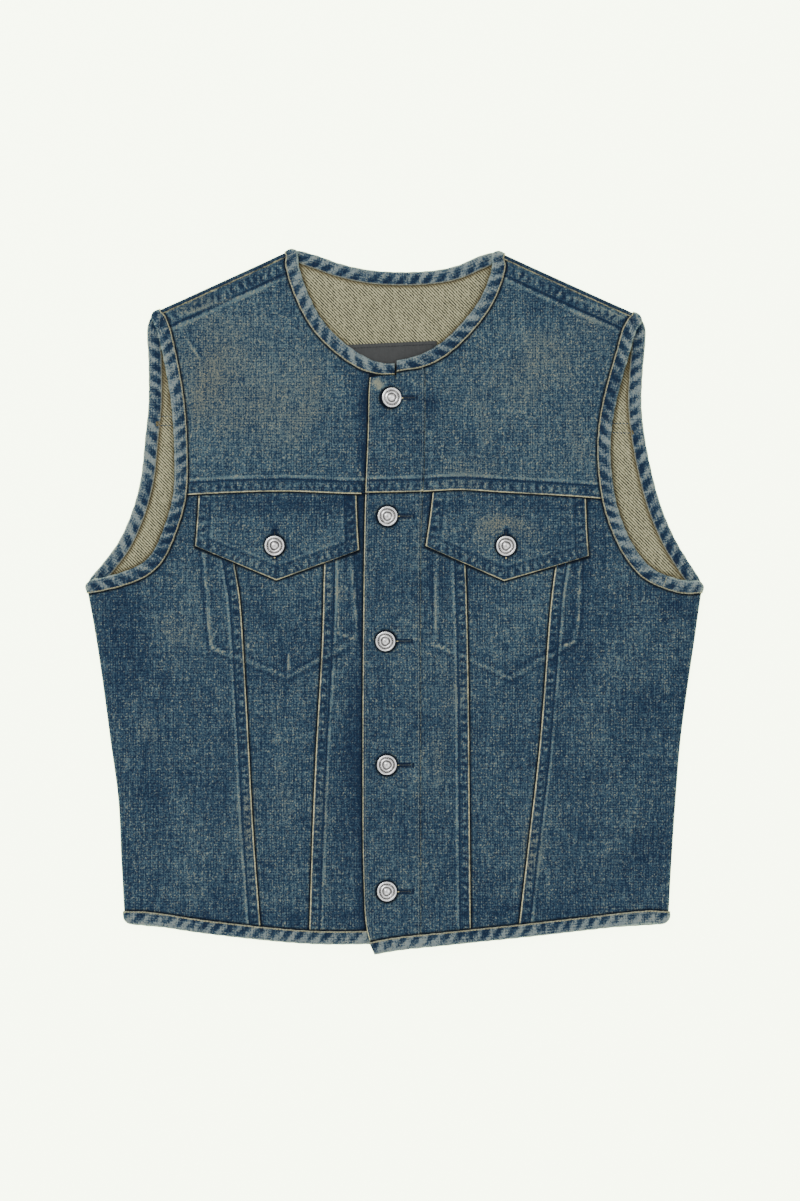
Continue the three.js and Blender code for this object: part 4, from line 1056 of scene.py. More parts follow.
class VestColours(bpy.types.PropertyGroup):
    """Colours of the cloth, thread, metal and leather, in linear light"""

    # Deep indigo is also the base of the painted shade and painted shadow on the denim
    deep: tint("Deep indigo", "Cloth where the dye has stayed", (0.005, 0.0145, 0.036))
    indigo: tint("Indigo", "The usual colour of the cloth", (0.017, 0.041, 0.070))
    faded: tint("Faded", "Cloth where the dye has gone", (0.084, 0.132, 0.147))
    faded_binding: tint("Faded binding", "The same on the bindings", (0.175, 0.218, 0.217))
    tan: tint("Soiled", "Cloth that has yellowed where it has faded", (0.150, 0.130, 0.072))
    worn: tint("Worn", "Bare weft on edges and ridges", (0.62, 0.59, 0.35))
    lining: tint("Wrong side", "The undyed side of the twill", (0.36, 0.345, 0.205))
    thread: tint("Thread", "Sewing thread of the bindings", (0.56, 0.50, 0.26))
    leather: tint("Label", "Leather of the label", (0.0152, 0.0168, 0.0168))
    metal: tint("Metal", "Plating of the buttons", (0.95, 0.94, 0.93))
    floor: tint("Floor", "Surface that the vest lies on", (0.90, 0.92, 0.80))


def sizes():
    return bpy.context.scene.vest_sizes


def colour(name):
    return tuple(getattr(bpy.context.scene.vest_colours, name))


def shaded(tint, *shares):
    """A colour times one share, or times one for each of red, green and blue; none goes above 1."""
    return tuple(min(1.0, v * share) for v, share in zip(tint, shares if len(shares) == 3 else shares * 3))


# Finishes
class Finish:
    """A material and short ways to add nodes to it."""

    def __init__(self, name):
        self.material = bpy.data.materials.new(name)
        self.material.use_nodes = True
        self.tree = self.material.node_tree
        self.shader = self.tree.nodes["Principled BSDF"]

    def node(self, kind, values=None, **links):
        node = self.tree.nodes.new(kind)
        for key, value in (values or {}).items():
            setattr(node, key, value)
        for key, value in links.items():
            self.put(node.inputs[key.replace("_", " ")], value)
        return node

    def put(self, socket, value):
        if isinstance(value, bpy.types.NodeSocket):
            self.tree.links.new(value, socket)
        else:
            socket.default_value = value

    def surface(self, base, roughness, height=None, depth=0.0, strength=1.0, **more):
        """What the shader gets: colour, roughness, a bump from a height, and constants by name."""
        self.put(self.shader.inputs["Base Color"], base)
        self.put(self.shader.inputs["Roughness"], roughness)
        for key, number in more.items():
            self.shader.inputs[key.replace("_", " ")].default_value = number
        if height is not None:
            bump = self.node("ShaderNodeBump", Height=height, Distance=depth, Strength=strength)
            self.put(self.shader.inputs["Normal"], bump.outputs[0])
        return self.material

    def attribute(self, name):
        return self.node("ShaderNodeAttribute", {"attribute_name": name}).outputs["Fac"]

    def object_place(self):
        return self.node("ShaderNodeTexCoord").outputs["Object"]

    def uv(self):
        return self.node("ShaderNodeUVMap", {"uv_map": "Weave"}).outputs["UV"]

    def scaled(self, place, x=1.0, y=1.0, z=1.0, turn=0.0):
        node = self.node("ShaderNodeMapping", Vector=place)
        node.inputs["Scale"].default_value = (x, y, z)
        node.inputs["Rotation"].default_value = (0, 0, turn)
        return node.outputs[0]

    def noise(self, place, scale=1.0, detail=2.0, roughness=0.5):
        node = self.node("ShaderNodeTexNoise", Vector=place, Scale=scale, Detail=detail, Roughness=roughness)
        return node.outputs["Fac"]

    def yarns(self, place, across, along, turn=0.0):
        """A random shade for each yarn, in lengths: so many yarns and lengths a metre."""
        cells = self.node("ShaderNodeVectorMath", {"operation": "FLOOR"})
        self.put(cells.inputs[0], self.scaled(place, across, along, 1, turn))
        shade = self.node("ShaderNodeTexWhiteNoise", {"noise_dimensions": "2D"}, Vector=cells.outputs[0])
        return shade.outputs["Value"]

    def wave(self, place, scale, distortion=0.0, detail=0.0, detail_scale=1.0):
        node = self.node("ShaderNodeTexWave", {"wave_type": "BANDS", "bands_direction": "X"}, Vector=place,
                         Scale=scale, Distortion=distortion, Detail=detail, Detail_Scale=detail_scale)
        return node.outputs["Fac"]

    def math(self, operation, a, b=0.0):
        node = self.tree.nodes.new("ShaderNodeMath")
        node.operation = operation
        self.put(node.inputs[0], a)
        self.put(node.inputs[1], b)
        return node.outputs[0]

    def times(self, a, b):
        return self.math("MULTIPLY", a, b)

    def total(self, start, *parts):
        """A value with others added to it, each times its weight."""
        for value, weight in parts:
            start = self.math("ADD", start, self.times(value, weight))
        return start

    def centred(self, value, middle=0.5):
        return self.math("SUBTRACT", value, middle)

    def fit(self, value, low, high, out_low=0.0, out_high=1.0):
        """A value from low to high made one from out_low to out_high, softly."""
        node = self.node("ShaderNodeMapRange", {"interpolation_type": "SMOOTHSTEP"})
        for key, number in (("Value", value), ("From Min", low), ("From Max", high),
                            ("To Min", out_low), ("To Max", out_high)):
            self.put(node.inputs[key], number)
        return node.outputs[0]

    def ridge(self, value, middle, width):
        """1 where a value is at the middle, and 0 a width off it."""
        return self.fit(self.math("ABSOLUTE", self.centred(value, middle)), 0.0, width, 1.0, 0.0)

    def blend(self, share, a, b):
        node = self.node("ShaderNodeMix", {"data_type": "RGBA"})
        self.put(node.inputs[0], share)
        for socket, value in ((node.inputs[6], a), (node.inputs[7], b)):
            self.put(socket, (*value, 1) if isinstance(value, tuple) else value)
        return node.outputs[2]


USUAL_FADE = 0.43  # 0 is deep indigo, about 0.5 its usual colour and 1 faded
BUMP_PITCH = 6.8


def denim(name, lift=0.0, binding=False, drawn=1.0):
    """Washed indigo twill. Lift makes the whole cloth lighter, a binding's weave turns with it, and drawn
    is how plain the groove and ridge along a seam's band are."""
    f = Finish(name)
    where = f.object_place()
    place = f.uv() if binding else where
    cloud, patch = f.noise(where, 14, 1), f.noise(where, 70, 1)
    grit = f.noise(where, 420, 2, 0.6)
    slubs = f.math("ADD", *(f.noise(f.scaled(place, *size), 1, 1) for size in ((330, 26), (26, 330))))
    speckle = f.yarns(place, 1240, 1190, 0.5)
    ends = f.wave(place, 147, 0.9, 1.0, 1.4)
    picks = f.wave(f.scaled(place, turn=math.pi / 2), 141, 0.9, 1.0, 1.4)
    fleck = f.fit(f.yarns(place, 1010, 940, 0.9), 0.72, 1.0)
    weave = f.total(
        0.0, (f.yarns(place, 1170, 83), 0.26), (f.yarns(place, 71, 1130), 0.16), (speckle, 0.58),
    )
    tone, rub, edge, gap, band, along, puckered = (
        f.attribute(key) for key in ("tone", "rub", "edge", "gap", "band", "along", "pucker")
    )
    # How faded the cloth shows; the tone, seam and binding marks in it also carry painted shade and light
    fade = f.total(
        USUAL_FADE + lift, (f.centred(weave), 1.6), (f.centred(ends), 0.22), (f.centred(picks), 0.2),
        (f.centred(cloud), 0.45), (f.centred(patch), 0.14), (f.centred(slubs, 1.0), 0.16), (tone, 0.47),
        (rub, 0.85),
    )
    if binding:
        # Deep where each pucker starts at the stitches and pale over the fold: kept dye and wear, with
        # painted shade in the hollows and a painted highlight on the crests
        hollow = f.fit(f.total(puckered, (f.centred(patch), 0.7)), -0.45, 0.25, 1.0, 0.0)
        hollow = f.times(hollow, f.fit(band, 0.6, 1.1, 1.0, 0.2))
        crest = f.fit(f.total(puckered, (f.centred(patch), 0.6)), 0.15, 0.85)
        fade = f.total(fade, (f.fit(band, 0.1, 0.95), 0.36), (hollow, -0.72), (crest, 0.42))
    else:
        # Pucker crests lighter and pale bumps in rows between the two lines of stitches, a groove and a
        # ridge: wear, with painted shade in the groove and a painted highlight on the ridge
        jog = f.times(f.centred(f.noise(where, 110, 1)), 10.0)
        bumps = f.math("SINE", f.total(jog, (along, 2 * math.pi / BUMP_PITCH)))
        bumps = f.times(bumps, f.ridge(band, 0.42, 0.34))
        crest = f.times(f.ridge(band, 1.03, 0.17), f.fit(patch, 0.3, 0.65, 0.35, 1.0))
        fade = f.total(
            fade, (puckered, 0.3), (bumps, 0.5), (f.ridge(band, 0.42, 0.7), -0.1),
            (f.ridge(band, 0.82, 0.13), -0.75 * drawn), (crest, 0.9 * drawn),
        )
    worn = colour("worn")
    base = f.blend(f.fit(fade, -0.1, 0.5), colour("deep"), colour("indigo"))
    base = f.blend(f.fit(fade, 0.42, 1.65 if binding else 1.25), base,
                   colour("faded_binding" if binding else "faded"))
    flecks = f.times(fleck, f.fit(fade, 0.15, 1.1, 0.03, 0.34))
    base = f.blend(f.times(flecks, 0.6) if binding else flecks, base, shaded(worn, 0.7))
    if not binding:
        soiled = f.times(f.fit(tone, 0.05, 0.7), f.fit(fade, 0.4, 1.0))
        base = f.blend(f.times(soiled, 0.5), base, colour("tan"))
    grain = f.fit(speckle, 0.0, 0.7, 0.5, 1.0)
    bare = f.fit(f.total(rub, (f.centred(grit), 1.1)), 0.4, 1.25, 0.0, 0.35 if binding else 0.6)
    base = f.blend(f.times(bare, grain), base, shaded(worn, 0.5))
    # Pale weft where folded edges have worn through
    rim = f.fit(f.total(edge, (f.centred(grit), 1.3)), 0.6, 1.45, 0.95, 0.0)
    rim = f.times(rim, 0.35 if binding else f.fit(patch, 0.3, 0.55, 0.45, 1.0))
    base = f.blend(f.times(rim, grain), base, worn)
    # Shadow where another piece lies over this one
    base = f.blend(f.fit(gap, 0.4, 2.6, 0.95, 0.0), base, shaded(colour("deep"), 0.25))
    cords = f.wave(f.scaled(place, turn=0.62), 300, 1.4, 1.5, 2.2)
    return f.surface(base, 0.9, f.total(weave, (cords, 0.3)), 0.0004, 0.7, Specular_IOR_Level=0.1,
                     Sheen_Weight=0.03, Sheen_Roughness=0.5)


def undyed(name, tint, shade=1.0):
    """The wrong side of the twill: ecru cords that slant, with indigo showing between their yarns."""
    f = Finish(name)
    place = f.object_place()
    cords = f.wave(f.scaled(place, turn=-math.pi / 4), 158, 0.5, 1.0, 1.2)
    share = f.total(
        0.0, (f.yarns(place, 1010, 170), 0.22), (cords, 0.95), (f.yarns(place, 1010, 1090), 0.45),
        (f.noise(f.scaled(place, 190, 24), 1, 2, 0.6), 0.3),
    )
    dark = shaded(shaded(tint, shade), 0.08, 0.09, 0.12)
    base = f.blend(f.fit(share, 0.42, 1.54), dark, shaded(tint, shade * 1.2))
    # Painted shadow near the edges of pieces that lie over the wrong side
    base = f.blend(f.fit(f.attribute("gap"), 0.0, 4.0, 0.8, 0.0), base, shaded(tint, 0.2, 0.16, 0.13))
    return f.surface(base, 0.92, cords, 0.0003, 0.5, Specular_IOR_Level=0.1)


def spun(name, tint):
    """Sewing thread, dirty in places."""
    f = Finish(name)
    place = f.object_place()
    twist = f.noise(place, 900, 2, 0.6)
    share = f.total(0.0, (twist, 0.6), (f.noise(place, 60, 2, 0.6), 0.7))
    base = f.blend(f.fit(share, 0.45, 0.85), shaded(tint, 0.45, 0.5, 0.6), tint)
    return f.surface(base, 0.8, twist, 0.0002, 0.5, Specular_IOR_Level=0.12)


def plating(name, tint):
    """Worn silver plating: painted shade in the hollows, dirt in places, and scuffed on the rim."""
    f = Finish(name)
    place = f.object_place()
    scuff = f.noise(f.scaled(place, 900, 260, 400), 1, 4, 0.65)
    cloud = f.noise(place, 210, 3, 0.6)
    dirt_and_shade = f.total(0.0, (f.attribute("hollow"), 0.9), (f.centred(cloud), 1.5))
    base = f.blend(f.fit(dirt_and_shade, 0.1, 0.95), tint, shaded(tint, 0.12))
    return f.surface(base, f.fit(scuff, 0.3, 0.7, 0.2, 0.4), scuff, 0.0001, 0.35, Metallic=0.95)


def hide(name, tint):
    """Dark smooth leather with a fine grain, scuffed paler in places."""
    f = Finish(name)
    place = f.object_place()
    pores = f.node("ShaderNodeTexVoronoi", {"feature": "DISTANCE_TO_EDGE"}, Vector=place, Scale=900)
    cloud = f.noise(place, 70, 4, 0.6)
    share = f.total(0.0, (cloud, 0.6), (f.noise(f.scaled(place, 500, 90), 1, 3, 0.6), 0.4))
    base = f.blend(f.fit(share, 0.35, 0.75), tint, shaded(tint, 1.75))
    return f.surface(base, f.fit(cloud, 0.3, 0.7, 0.5, 0.68), f.fit(pores.outputs[0], 0.0, 0.12), 0.0002, 0.4)


def slit_shadow(name):
    f = Finish(name)
    depth = f.noise(f.object_place(), 700, 2, 0.6)
    return f.surface(f.blend(depth, (0.006, 0.008, 0.012), (0.03, 0.035, 0.04)), 1.0)


FINISHES = {}


def finish(name):
    """The finishes, each made once."""
    if not FINISHES:
        FINISHES.update(
            yoke=denim("yoke_denim", 0.1),
            front=denim("front_denim"),
            centre=denim("centre_denim", 0.03),
            placket=denim("placket_denim", 0.04),
            flap=denim("flap_denim", 0.05, drawn=0.4),
            back=denim("back_denim"),
            binding=denim("binding_denim", 0.09, binding=True),
            lining=undyed("wrong_side", colour("lining")),
            bag=undyed("pocketing", colour("lining"), 1.2),
            thread=spun("pale_thread", colour("thread")),
            blue_thread=spun("indigo_thread", shaded(colour("indigo"), 1.6)),
            dark_thread=spun("dark_thread", shaded(colour("deep"), 1.3)),
            pale_blue_thread=spun("pale_blue_thread", colour("faded_binding")),
            metal=plating("silver_plating", colour("metal")),
            leather=hide("label_leather", colour("leather")),
            shadow=slit_shadow("buttonhole_shadow"),
        )
    return FINISHES[name]


# Panels
TURN_CELLS = 9
HALF_TURN = math.pi * ROLL / 2
HALF_FOLD = [mix(GAP, HALF_TURN, share) for share in (1, 0.75, 0.5, 0.25, 0)]


def round_fold(start):
    return [start + i / TURN_CELLS * math.pi * ROLL for i in range(TURN_CELLS + 1)]


def side_line(side, past):
    return SIDE_FOLD[side].outline.moved(SIGN[side] * (past - TANGENT), 0)


def panel(name, relief, height, kind, folds=(), facing=1, thickness=CLOTH):
    """A panel of cloth on its plain form, with its relief, which fades where it turns over a fold."""
    plain = lay(relief.x, relief.y, height, facing, folds)
    rise = relief.rise
    for fold in folds:
        rise = rise * ease(0, 7, fold.inside(relief.x, relief.y))
    points = plain.copy()
    points[..., 2] += rise
    finishes = (finish(kind), finish("bag" if kind == "bag" else "lining"))
    piece = grid_mesh(name + "_cloth", points, (0, 0, facing), relief.values(), None, finishes, thickness)
    declare_cloth(piece, plain)
    return piece


def front_panel(name, side, relief, kind, folds=(), thickness=CLOTH):
    def height(x, y):
        return front_height(side, x, y)

    return panel(name, relief, height, kind, folds, 1, thickness)


def front_relief(side, patch, cell, across=None, up=None):
    return Relief(*patch.grid(cell, across, up), front_edges(side), FRONT_CREASES, FRONT_TONES, FRONT_WEAR_AND_SHADE)


def back_relief(patch, cell, across=None, up=None):
    relief = Relief(*patch.grid(cell, across, up), BACK_EDGES, BACK_CREASES, BACK_TONES, (), -1)
    # A painted shadow on the back by the open edges of the fronts that lie over it
    return relief.under(from_edges(OPENINGS, relief.x, relief.y)[0])


def yoke_seam(side):
    """The front yoke seam: its band is on the yoke, above the line, which runs towards +X."""
    return Seam(YOKE_LINE[side], 1, YOKE_BAND, BAND["rise"], 31 + SIGN[side])


def flap_bulk(side, x):
    """More height where the flap is caught in the yoke seam, and none under the placket."""
    low, high = sorted((FLAP[side]["left"][0]["x"], FLAP[side]["right"][0]["x"]))
    bulk = FLAP_BULK * ease(low - 5, low + 1, x) * (1 - ease(high - 1, high + 5, x))
    if side == "left":
        return bulk
    return bulk - (BAND["rise"] + FLAP_BULK) * ease(-31, -26, x)


class PieceOperator(bpy.types.Operator):
    """A step of the vest"""

    bl_options = {"REGISTER"}

    def execute(self, context):
        self.build()
        return {"FINISHED"}


class VEST_OT_back(PieceOperator):
    """Back yoke and back panel"""

    bl_idname = "vest.back"
    bl_label = "Back"

    def build(self):
        cell = sizes().back_cell / MM
        arm = {side: EDGE["arm_back_" + side] for side in SIDES}
        neck = EDGE["neck_back"]
        past = math.pi * ROLL + SHOULDER_OVER
        band = Seam(BACK_YOKE_LINE, 1, YOKE_BAND, 0.0, 51)
        patch = Patch(
            [BACK_YOKE_LINE],
            [arm["left"].whole],
            [shoulder_line("left", past), neck.last.part(1, 0).in_cells(TURN_CELLS), neck.cloth.part(1, 0),
             neck.first.part(0, 1).in_cells(TURN_CELLS), shoulder_line("right", past)],
            [arm["right"].whole],
        )
        up = {"end": past + cell, "last": [*reversed(round_fold(SHOULDER_OVER)), GAP / 2]}
        yoke = back_relief(patch, cell, None, up)
        yoke.band(band, True)
        for side in SIDES:
            beyond = -SHOULDER_FOLD[side].inside(yoke.x, yoke.y)
            yoke.edge = np.minimum(yoke.edge, np.abs(past - beyond) + 0.4)
            yoke.tone -= 0.9 * ease(2, 5, beyond)
        panel("back_yoke", yoke, back_height, "back", list(SHOULDER_FOLD.values()), -1)

        patch = Patch(
            [EDGE["hem_back"].whole],
            [side_line("left", HALF_TURN), arm["left"].last.part(1, 0).in_cells(5),
             arm["left"].cloth.part(1, 0)],
            [BACK_YOKE_LINE.moved(0, 2 * TUCKED)],
            [arm["right"].cloth, side_line("right", -SIDE_SEAM_UNDER - GAP)],
        )
        body = back_relief(patch, cell, {"end": HALF_TURN + cell, "last": HALF_FOLD})
        above, far = band.measure(body.x, body.y)
        body.gather(above, far, 51, 10.5, 0.8)
        body.rise += (CLOTH + 0.08) * ease(-4, 0, above)
        body.edge = np.minimum(body.edge, np.abs(2 * TUCKED - above) + 0.5)
        panel("back_panel", body, back_height, "back", [SIDE_FOLD["left"]], -1)


class VEST_OT_yokes(PieceOperator):
    """Front yokes, from the shoulder seams to the yoke seams"""

    bl_idname = "vest.yokes"
    bl_label = "Front yokes"

    def build(self):
        shoulder = {side: shoulder_line(side, -SHOULDER_OVER) for side in SIDES}
        patches = {
            "right": Patch(
                [YOKE_LINE["right"]],
                [upright_line(UNDER_EDGE_X), level_line(UNDER_TAB_Y), upright_line(NECK_ENDS["right"]),
                 EDGE["neck_right"].whole],
                [shoulder["right"]],
                [EDGE["arm_front_right"].whole],
            ),
            "left": Patch(
                [YOKE_LINE["left"]],
                [EDGE["arm_front_left"].whole],
                [shoulder["left"]],
                [EDGE["neck_left"].whole, PLACKET_SEAM_LINE],
            ),
        }
        for side, patch in patches.items():
            relief = front_relief(side, patch, sizes().front_cell / MM)
            relief.band(yoke_seam(side), True, flap_bulk(side, relief.x))
            seam = Seam(shoulder[side], -SIGN[side], SHOULDER_BAND, 0.7, 35 + SIGN[side])
            relief.band(seam, True, 0, 0.9)
            distance, far = seam.measure(relief.x, relief.y)
            relief.gather(distance - 6, far, 66, 7.5, 1.1)
            if side == "left":
                relief.gather_along(PLACKET_SEAM_LINE, 61, 10.5, 0.6)
            else:
                relief.under_placket()
            front_panel("front_yoke_" + side, side, relief, "yoke")


class VEST_OT_fronts(PieceOperator):
    """Panels of the fronts below the yoke seams"""

    bl_idname = "vest.fronts"
    bl_label = "Front panels"

    def build(self):
        cell = sizes().front_cell / MM
        under_turn = math.pi * ROLL + SIDE_SEAM_UNDER
        yoke = {side: YOKE_LINE[side].moved(0, TUCKED) for side in SIDES}
        arm = {side: EDGE["arm_front_" + side].whole for side in SIDES}
        hem = {side: EDGE["hem_" + side].whole for side in SIDES}
        outer, inner = OUTER_LINE, INNER_LINE
        tucked_outer = {side: outer[side].moved(SIGN[side] * TUCKED, 0) for side in SIDES}
        tucked_inner = {side: inner[side].moved(-SIGN[side] * TUCKED, 0) for side in SIDES}
        under = [GAP / 2, *round_fold(SIDE_SEAM_UNDER)]
        turned = {
            "side_front_right": {"first": under, "start": under_turn + cell},
            "side_front_left": {"end": HALF_TURN + cell, "last": HALF_FOLD},
        }
        # Each with its lower, right, upper and left edges as the picture shows them
        pieces = (
            ("side_front", "right", [hem["right"]], [outer["right"]], [yoke["right"], arm["right"]],
             [side_line("right", under_turn)]),
            ("side_front", "left", [hem["left"]], [side_line("left", HALF_TURN)], [arm["left"], yoke["left"]],
             [outer["left"]]),
            ("centre_front", "right", [hem["right"]], [tucked_inner["right"]], [yoke["right"]],
             [tucked_outer["right"]]),
            ("centre_front", "left", [hem["left"]], [tucked_outer["left"]], [yoke["left"]],
             [tucked_inner["left"]]),
            ("inner_front", "right", [hem["right"]], [upright_line(UNDER_EDGE_X)], [yoke["right"]],
             [inner["right"]]),
            ("inner_front", "left", [hem["left"]], [inner["left"]], [yoke["left"]], [PLACKET_SEAM_LINE]),
        )
        for kind, side, *edges in pieces:
            name = kind + "_" + side
            relief = front_relief(side, Patch(*edges), cell, turned.get(name))
            under_flap = inside_of(FLAP_LINE[side], relief.x, relief.y)
            relief.bag(side)
            relief.uncovered = 1 - ease(-1.5, 3, under_flap)
            relief.band(yoke_seam(side), False)
            relief.band(outer_band(side), kind == "side_front")
            relief.band(inner_band(side), kind == "inner_front")
            # A painted shadow round the flap's edge
            relief.under(-under_flap)
            if name == "inner_front_left":
                relief.gather_along(PLACKET_SEAM_LINE, 61, 10.5, 0.6)
            if name == "side_front_left":
                relief.band(Seam(side_line("left", HALF_TURN - 2), 1, 13, 0.0, 63), True, 0, None)
            if name == "inner_front_right":
                relief.under_placket()
                for row in FRONT_BUTTONS[1:]:
                    relief.button(row["x"], row["y"])
            folds = [SIDE_FOLD[side]] if kind == "side_front" else []
            front_panel(name, side, relief, "centre" if kind == "centre_front" else "front",
                        folds)


def placket_part(name, patch, buttons):
    """Outer cloth of a placket, with its folded edge turned down to the cloth under it. It lies doubled
    but for what the bindings hold."""
    relief = front_relief("left", patch, sizes().front_cell / MM)
    from_seam = relief.gather_along(PLACKET_SEAM_LINE, 62, 10, 0.8, 1.5)
    from_fold = relief.gather_along(PLACKET_EDGE_LINE, 64, 12, 0.5, 2)
    relief.edge = np.minimum(relief.edge, np.minimum(from_seam + 0.85, from_fold + 0.25))
    relief.rise -= 0.55 * (1 - ease(0, 2.2, np.minimum(from_seam, from_fold)))
    relief.band(yoke_seam("left"), name == "placket_upper", -0.5)
    for row in buttons:
        relief.button(row["x"], row["y"], 14)
    relief.tone = np.zeros(relief.x.shape)  # the placket has faded evenly
    piece = front_panel(name, "left", relief, "placket", (), DOUBLED)
    points = np.empty(len(piece.data.vertices) * 3)
    piece.data.vertices.foreach_get("co", points)
    points = points.reshape(-1, 3) / MM
    from_bound, _ = from_edges(("neck_left", "hem_left"), points[:, 0], points[:, 1])
    group = piece.vertex_groups.new(name="thickness")
    shares = mix(CLOTH / DOUBLED, 1, ease(BINDING_WIDTH + 2 * GAP, BINDING_WIDTH + 5, from_bound))
    for index, share in enumerate(shares):
        group.add([index], float(share), "REPLACE")
    piece.modifiers["thickness"].vertex_group = group.name


class VEST_OT_placket(PieceOperator):
    """The doubled edge of the lapping front"""

    bl_idname = "vest.placket"
    bl_label = "Placket"

    def build(self):
        upper = Patch(
            [YOKE_LINE["left"].moved(0, 0.1)],
            [PLACKET_SEAM_LINE],
            [EDGE["neck_left"].whole, upright_line(NECK_ENDS["left"]), Line.through(PLACKET_TOP)],
            [PLACKET_EDGE_LINE],
        )
        lower = Patch([EDGE["hem_left"].whole], [PLACKET_SEAM_LINE], [YOKE_LINE["left"]], [PLACKET_EDGE_LINE])
        placket_part("placket_upper", upper, FRONT_BUTTONS[:1])
        placket_part("placket_lower", lower, FRONT_BUTTONS[1:])


def pointed(form, top):
    """A flap or bag: straight sides down to a point in the middle of its lower edge."""
    tip = vector(*form["point"])

    def toward(rows):
        end = vector(rows[-1]["x"], rows[-1]["y"] + 1)
        return Line([tip, end + BEYOND * unit(end - tip)])

    bottom = toward(form["left"]).part(1, 0).then(toward(form["right"]))
    patch = Patch([bottom], [Line.through(form["right"])], [top], [Line.through(form["left"])])
    lower = patch.bottom.lines[0]
    k = np.linalg.norm(lower.points - tip, axis=1).argmin()
    return patch, {"corners": [lower.far[k] / lower.length]}


class VEST_OT_pockets(PieceOperator):
    """Pocket flaps on the fronts and pocket bags behind them"""

    bl_idname = "vest.pockets"
    bl_label = "Pockets"

    def build(self):
        cell = sizes().front_cell / MM
        for side in SIDES:
            patch, across = pointed(FLAP[side], YOKE_LINE[side].moved(0, 2.0))
            under = front_relief(side, patch, cell, across, {"end": 0}).bag(side)
            relief = front_relief(side, patch, cell, across, {"end": 0})
            inside = inside_of(FLAP_LINE[side], relief.x, relief.y)
            below = -yoke_seam(side).measure(relief.x, relief.y)[0]
            relief.rise = under.rise * 0.8 + mix(1.04, 1.34, ease(0, 8, below))
            _, _, far, _ = FLAP_LINE[side].nearest(relief.x, relief.y)
            relief.gather(inside - 4, far, 71 + SIGN[side], 11, 0.8)
            relief.band(yoke_seam(side), False)
            relief.rise += 0.25 * np.exp(-(((inside - 12.5) / 2.2) ** 2)) * (below > 0)
            relief.rise -= 0.3 * (1 - ease(0, 1.8, inside)) * ease(2, 6, below)
            relief.share, relief.along = inside / 12.5, far
            relief.edge = np.minimum(relief.edge, np.abs(inside))
            relief.button(FLAP_BUTTONS[side]["x"], FLAP_BUTTONS[side]["y"], 15)
            front_panel("pocket_flap_" + side, side, relief, "flap")

            patch, across = pointed(BAG[side], YOKE_LINE[side].moved(0, -BAG_TOP_DROP))
            relief = front_relief(side, patch, 2 * cell, across)
            inside = inside_of(BAG_LINE[side], relief.x, relief.y)
            relief.rise = 0.5 * relief.rise - CLOTH - GAP - BAG_DEPTH * ease(0, 14, inside)
            front_panel("pocket_bag_" + side, side, relief, "bag")


# Bindings
def sections(share, edge, facing):
    """Sections along one layer of a bound edge: where it opens, the ways across it and up, its width."""
    n = len(share)
    far = share * edge.line.length
    near = np.full(n, 99.0)
    for corner, distance in ((edge.start, far), (edge.end, edge.line.length - far)):
        if corner.edge is not None:
            near = np.minimum(near, distance)
    return {
        "open": edge.line.at(share), "across": edge.across(share),
        "up": np.tile(vector(0, 0, facing), (n, 1)), "width": np.broadcast_to(edge.width(share), (n,)),
        "near": near,
    }


def runs(cell, *names):
    """Sections all along each of these bound edges."""
    made = []
    for name in names:
        count = max(2, round(EDGE[name].line.length / cell))
        made.append(sections(np.linspace(0, 1, count + 1), EDGE[name], -1 if "back" in name else 1))
    return made


def turn(section, out, steps=8):
    """Sections round a fold, from the last of one layer to the first of the other."""
    facing = section["up"][0, 2]
    centre = section["open"] - section["up"] * ROLL
    angle = (math.pi * np.arange(1, steps) / steps)[:, None]
    up = vector(0, 0, facing) * np.cos(angle) + out * np.sin(angle)
    return {
        "open": centre + up * ROLL, "across": np.repeat(section["across"], steps - 1, 0), "up": up,
        "width": np.repeat(section["width"], steps - 1), "near": -TANGENT * np.sin(angle[:, 0]),
    }


def pick(part, where):
    return {key: value[where] for key, value in part.items()}


def joined(*parts):
    return {key: np.concatenate([part[key] for part in parts]) for key in parts[0]}


def backward(part):
    return pick(part, slice(None, None, -1))


FIRST, LAST = slice(0, 1), slice(-1, None)


def neck_ring(cell):
    right, back, left = runs(cell, "neck_right", "neck_back", "neck_left")
    return joined(
        backward(right), turn(pick(right, FIRST), NECK_CORNER["right"].out), back,
        backward(turn(pick(left, FIRST), NECK_CORNER["left"].out)), left,
    )


def hem_ring(cell):
    right, back, left = runs(cell, "hem_right", "hem_back", "hem_left")
    return joined(
        right, turn(pick(right, LAST), HEM_CORNER["right"].out), back,
        backward(turn(pick(left, LAST), HEM_CORNER["left"].out)), backward(left),
    )


def armhole_ring(side, cell):
    """A closed ring, from its join round to it again."""
    front, back = runs(cell, "arm_front_" + side, "arm_back_" + side)
    ring = joined(
        front, turn(pick(front, LAST), UNDERARM_CORNER[side].out), backward(back),
        backward(turn(pick(front, FIRST), SHOULDER_CORNER[side].out)),
    )
    k = int(np.argmin(np.linalg.norm(ring["open"] - vector(*JOIN[side]), axis=1)))
    opened = pick(ring, np.r_[k:len(ring["open"]), 0:k])
    return joined(opened, pick(opened, FIRST))


JOIN = {"right": (-216.3, 102, 1.9), "left": (232, 21, 6)}  # where each armhole's binding is joined
CORNER_ROUND = 5.2  # radius of the corners that a binding shows where it turns over a fold
LEAF_CELLS = 7
BEND_CELLS = 6


def bulk(x, y):
    """More height where a binding crosses the bands of the seams."""
    total = 0
    for side in SIDES:
        for seam in (outer_band(side), inner_band(side), yoke_seam(side)):
            distance, _ = seam.measure(x, y)
            over = ease(-2, 1, distance) * (1 - ease(seam.width - 1, seam.width + 3, distance))
            total = np.maximum(total, over)
    return total


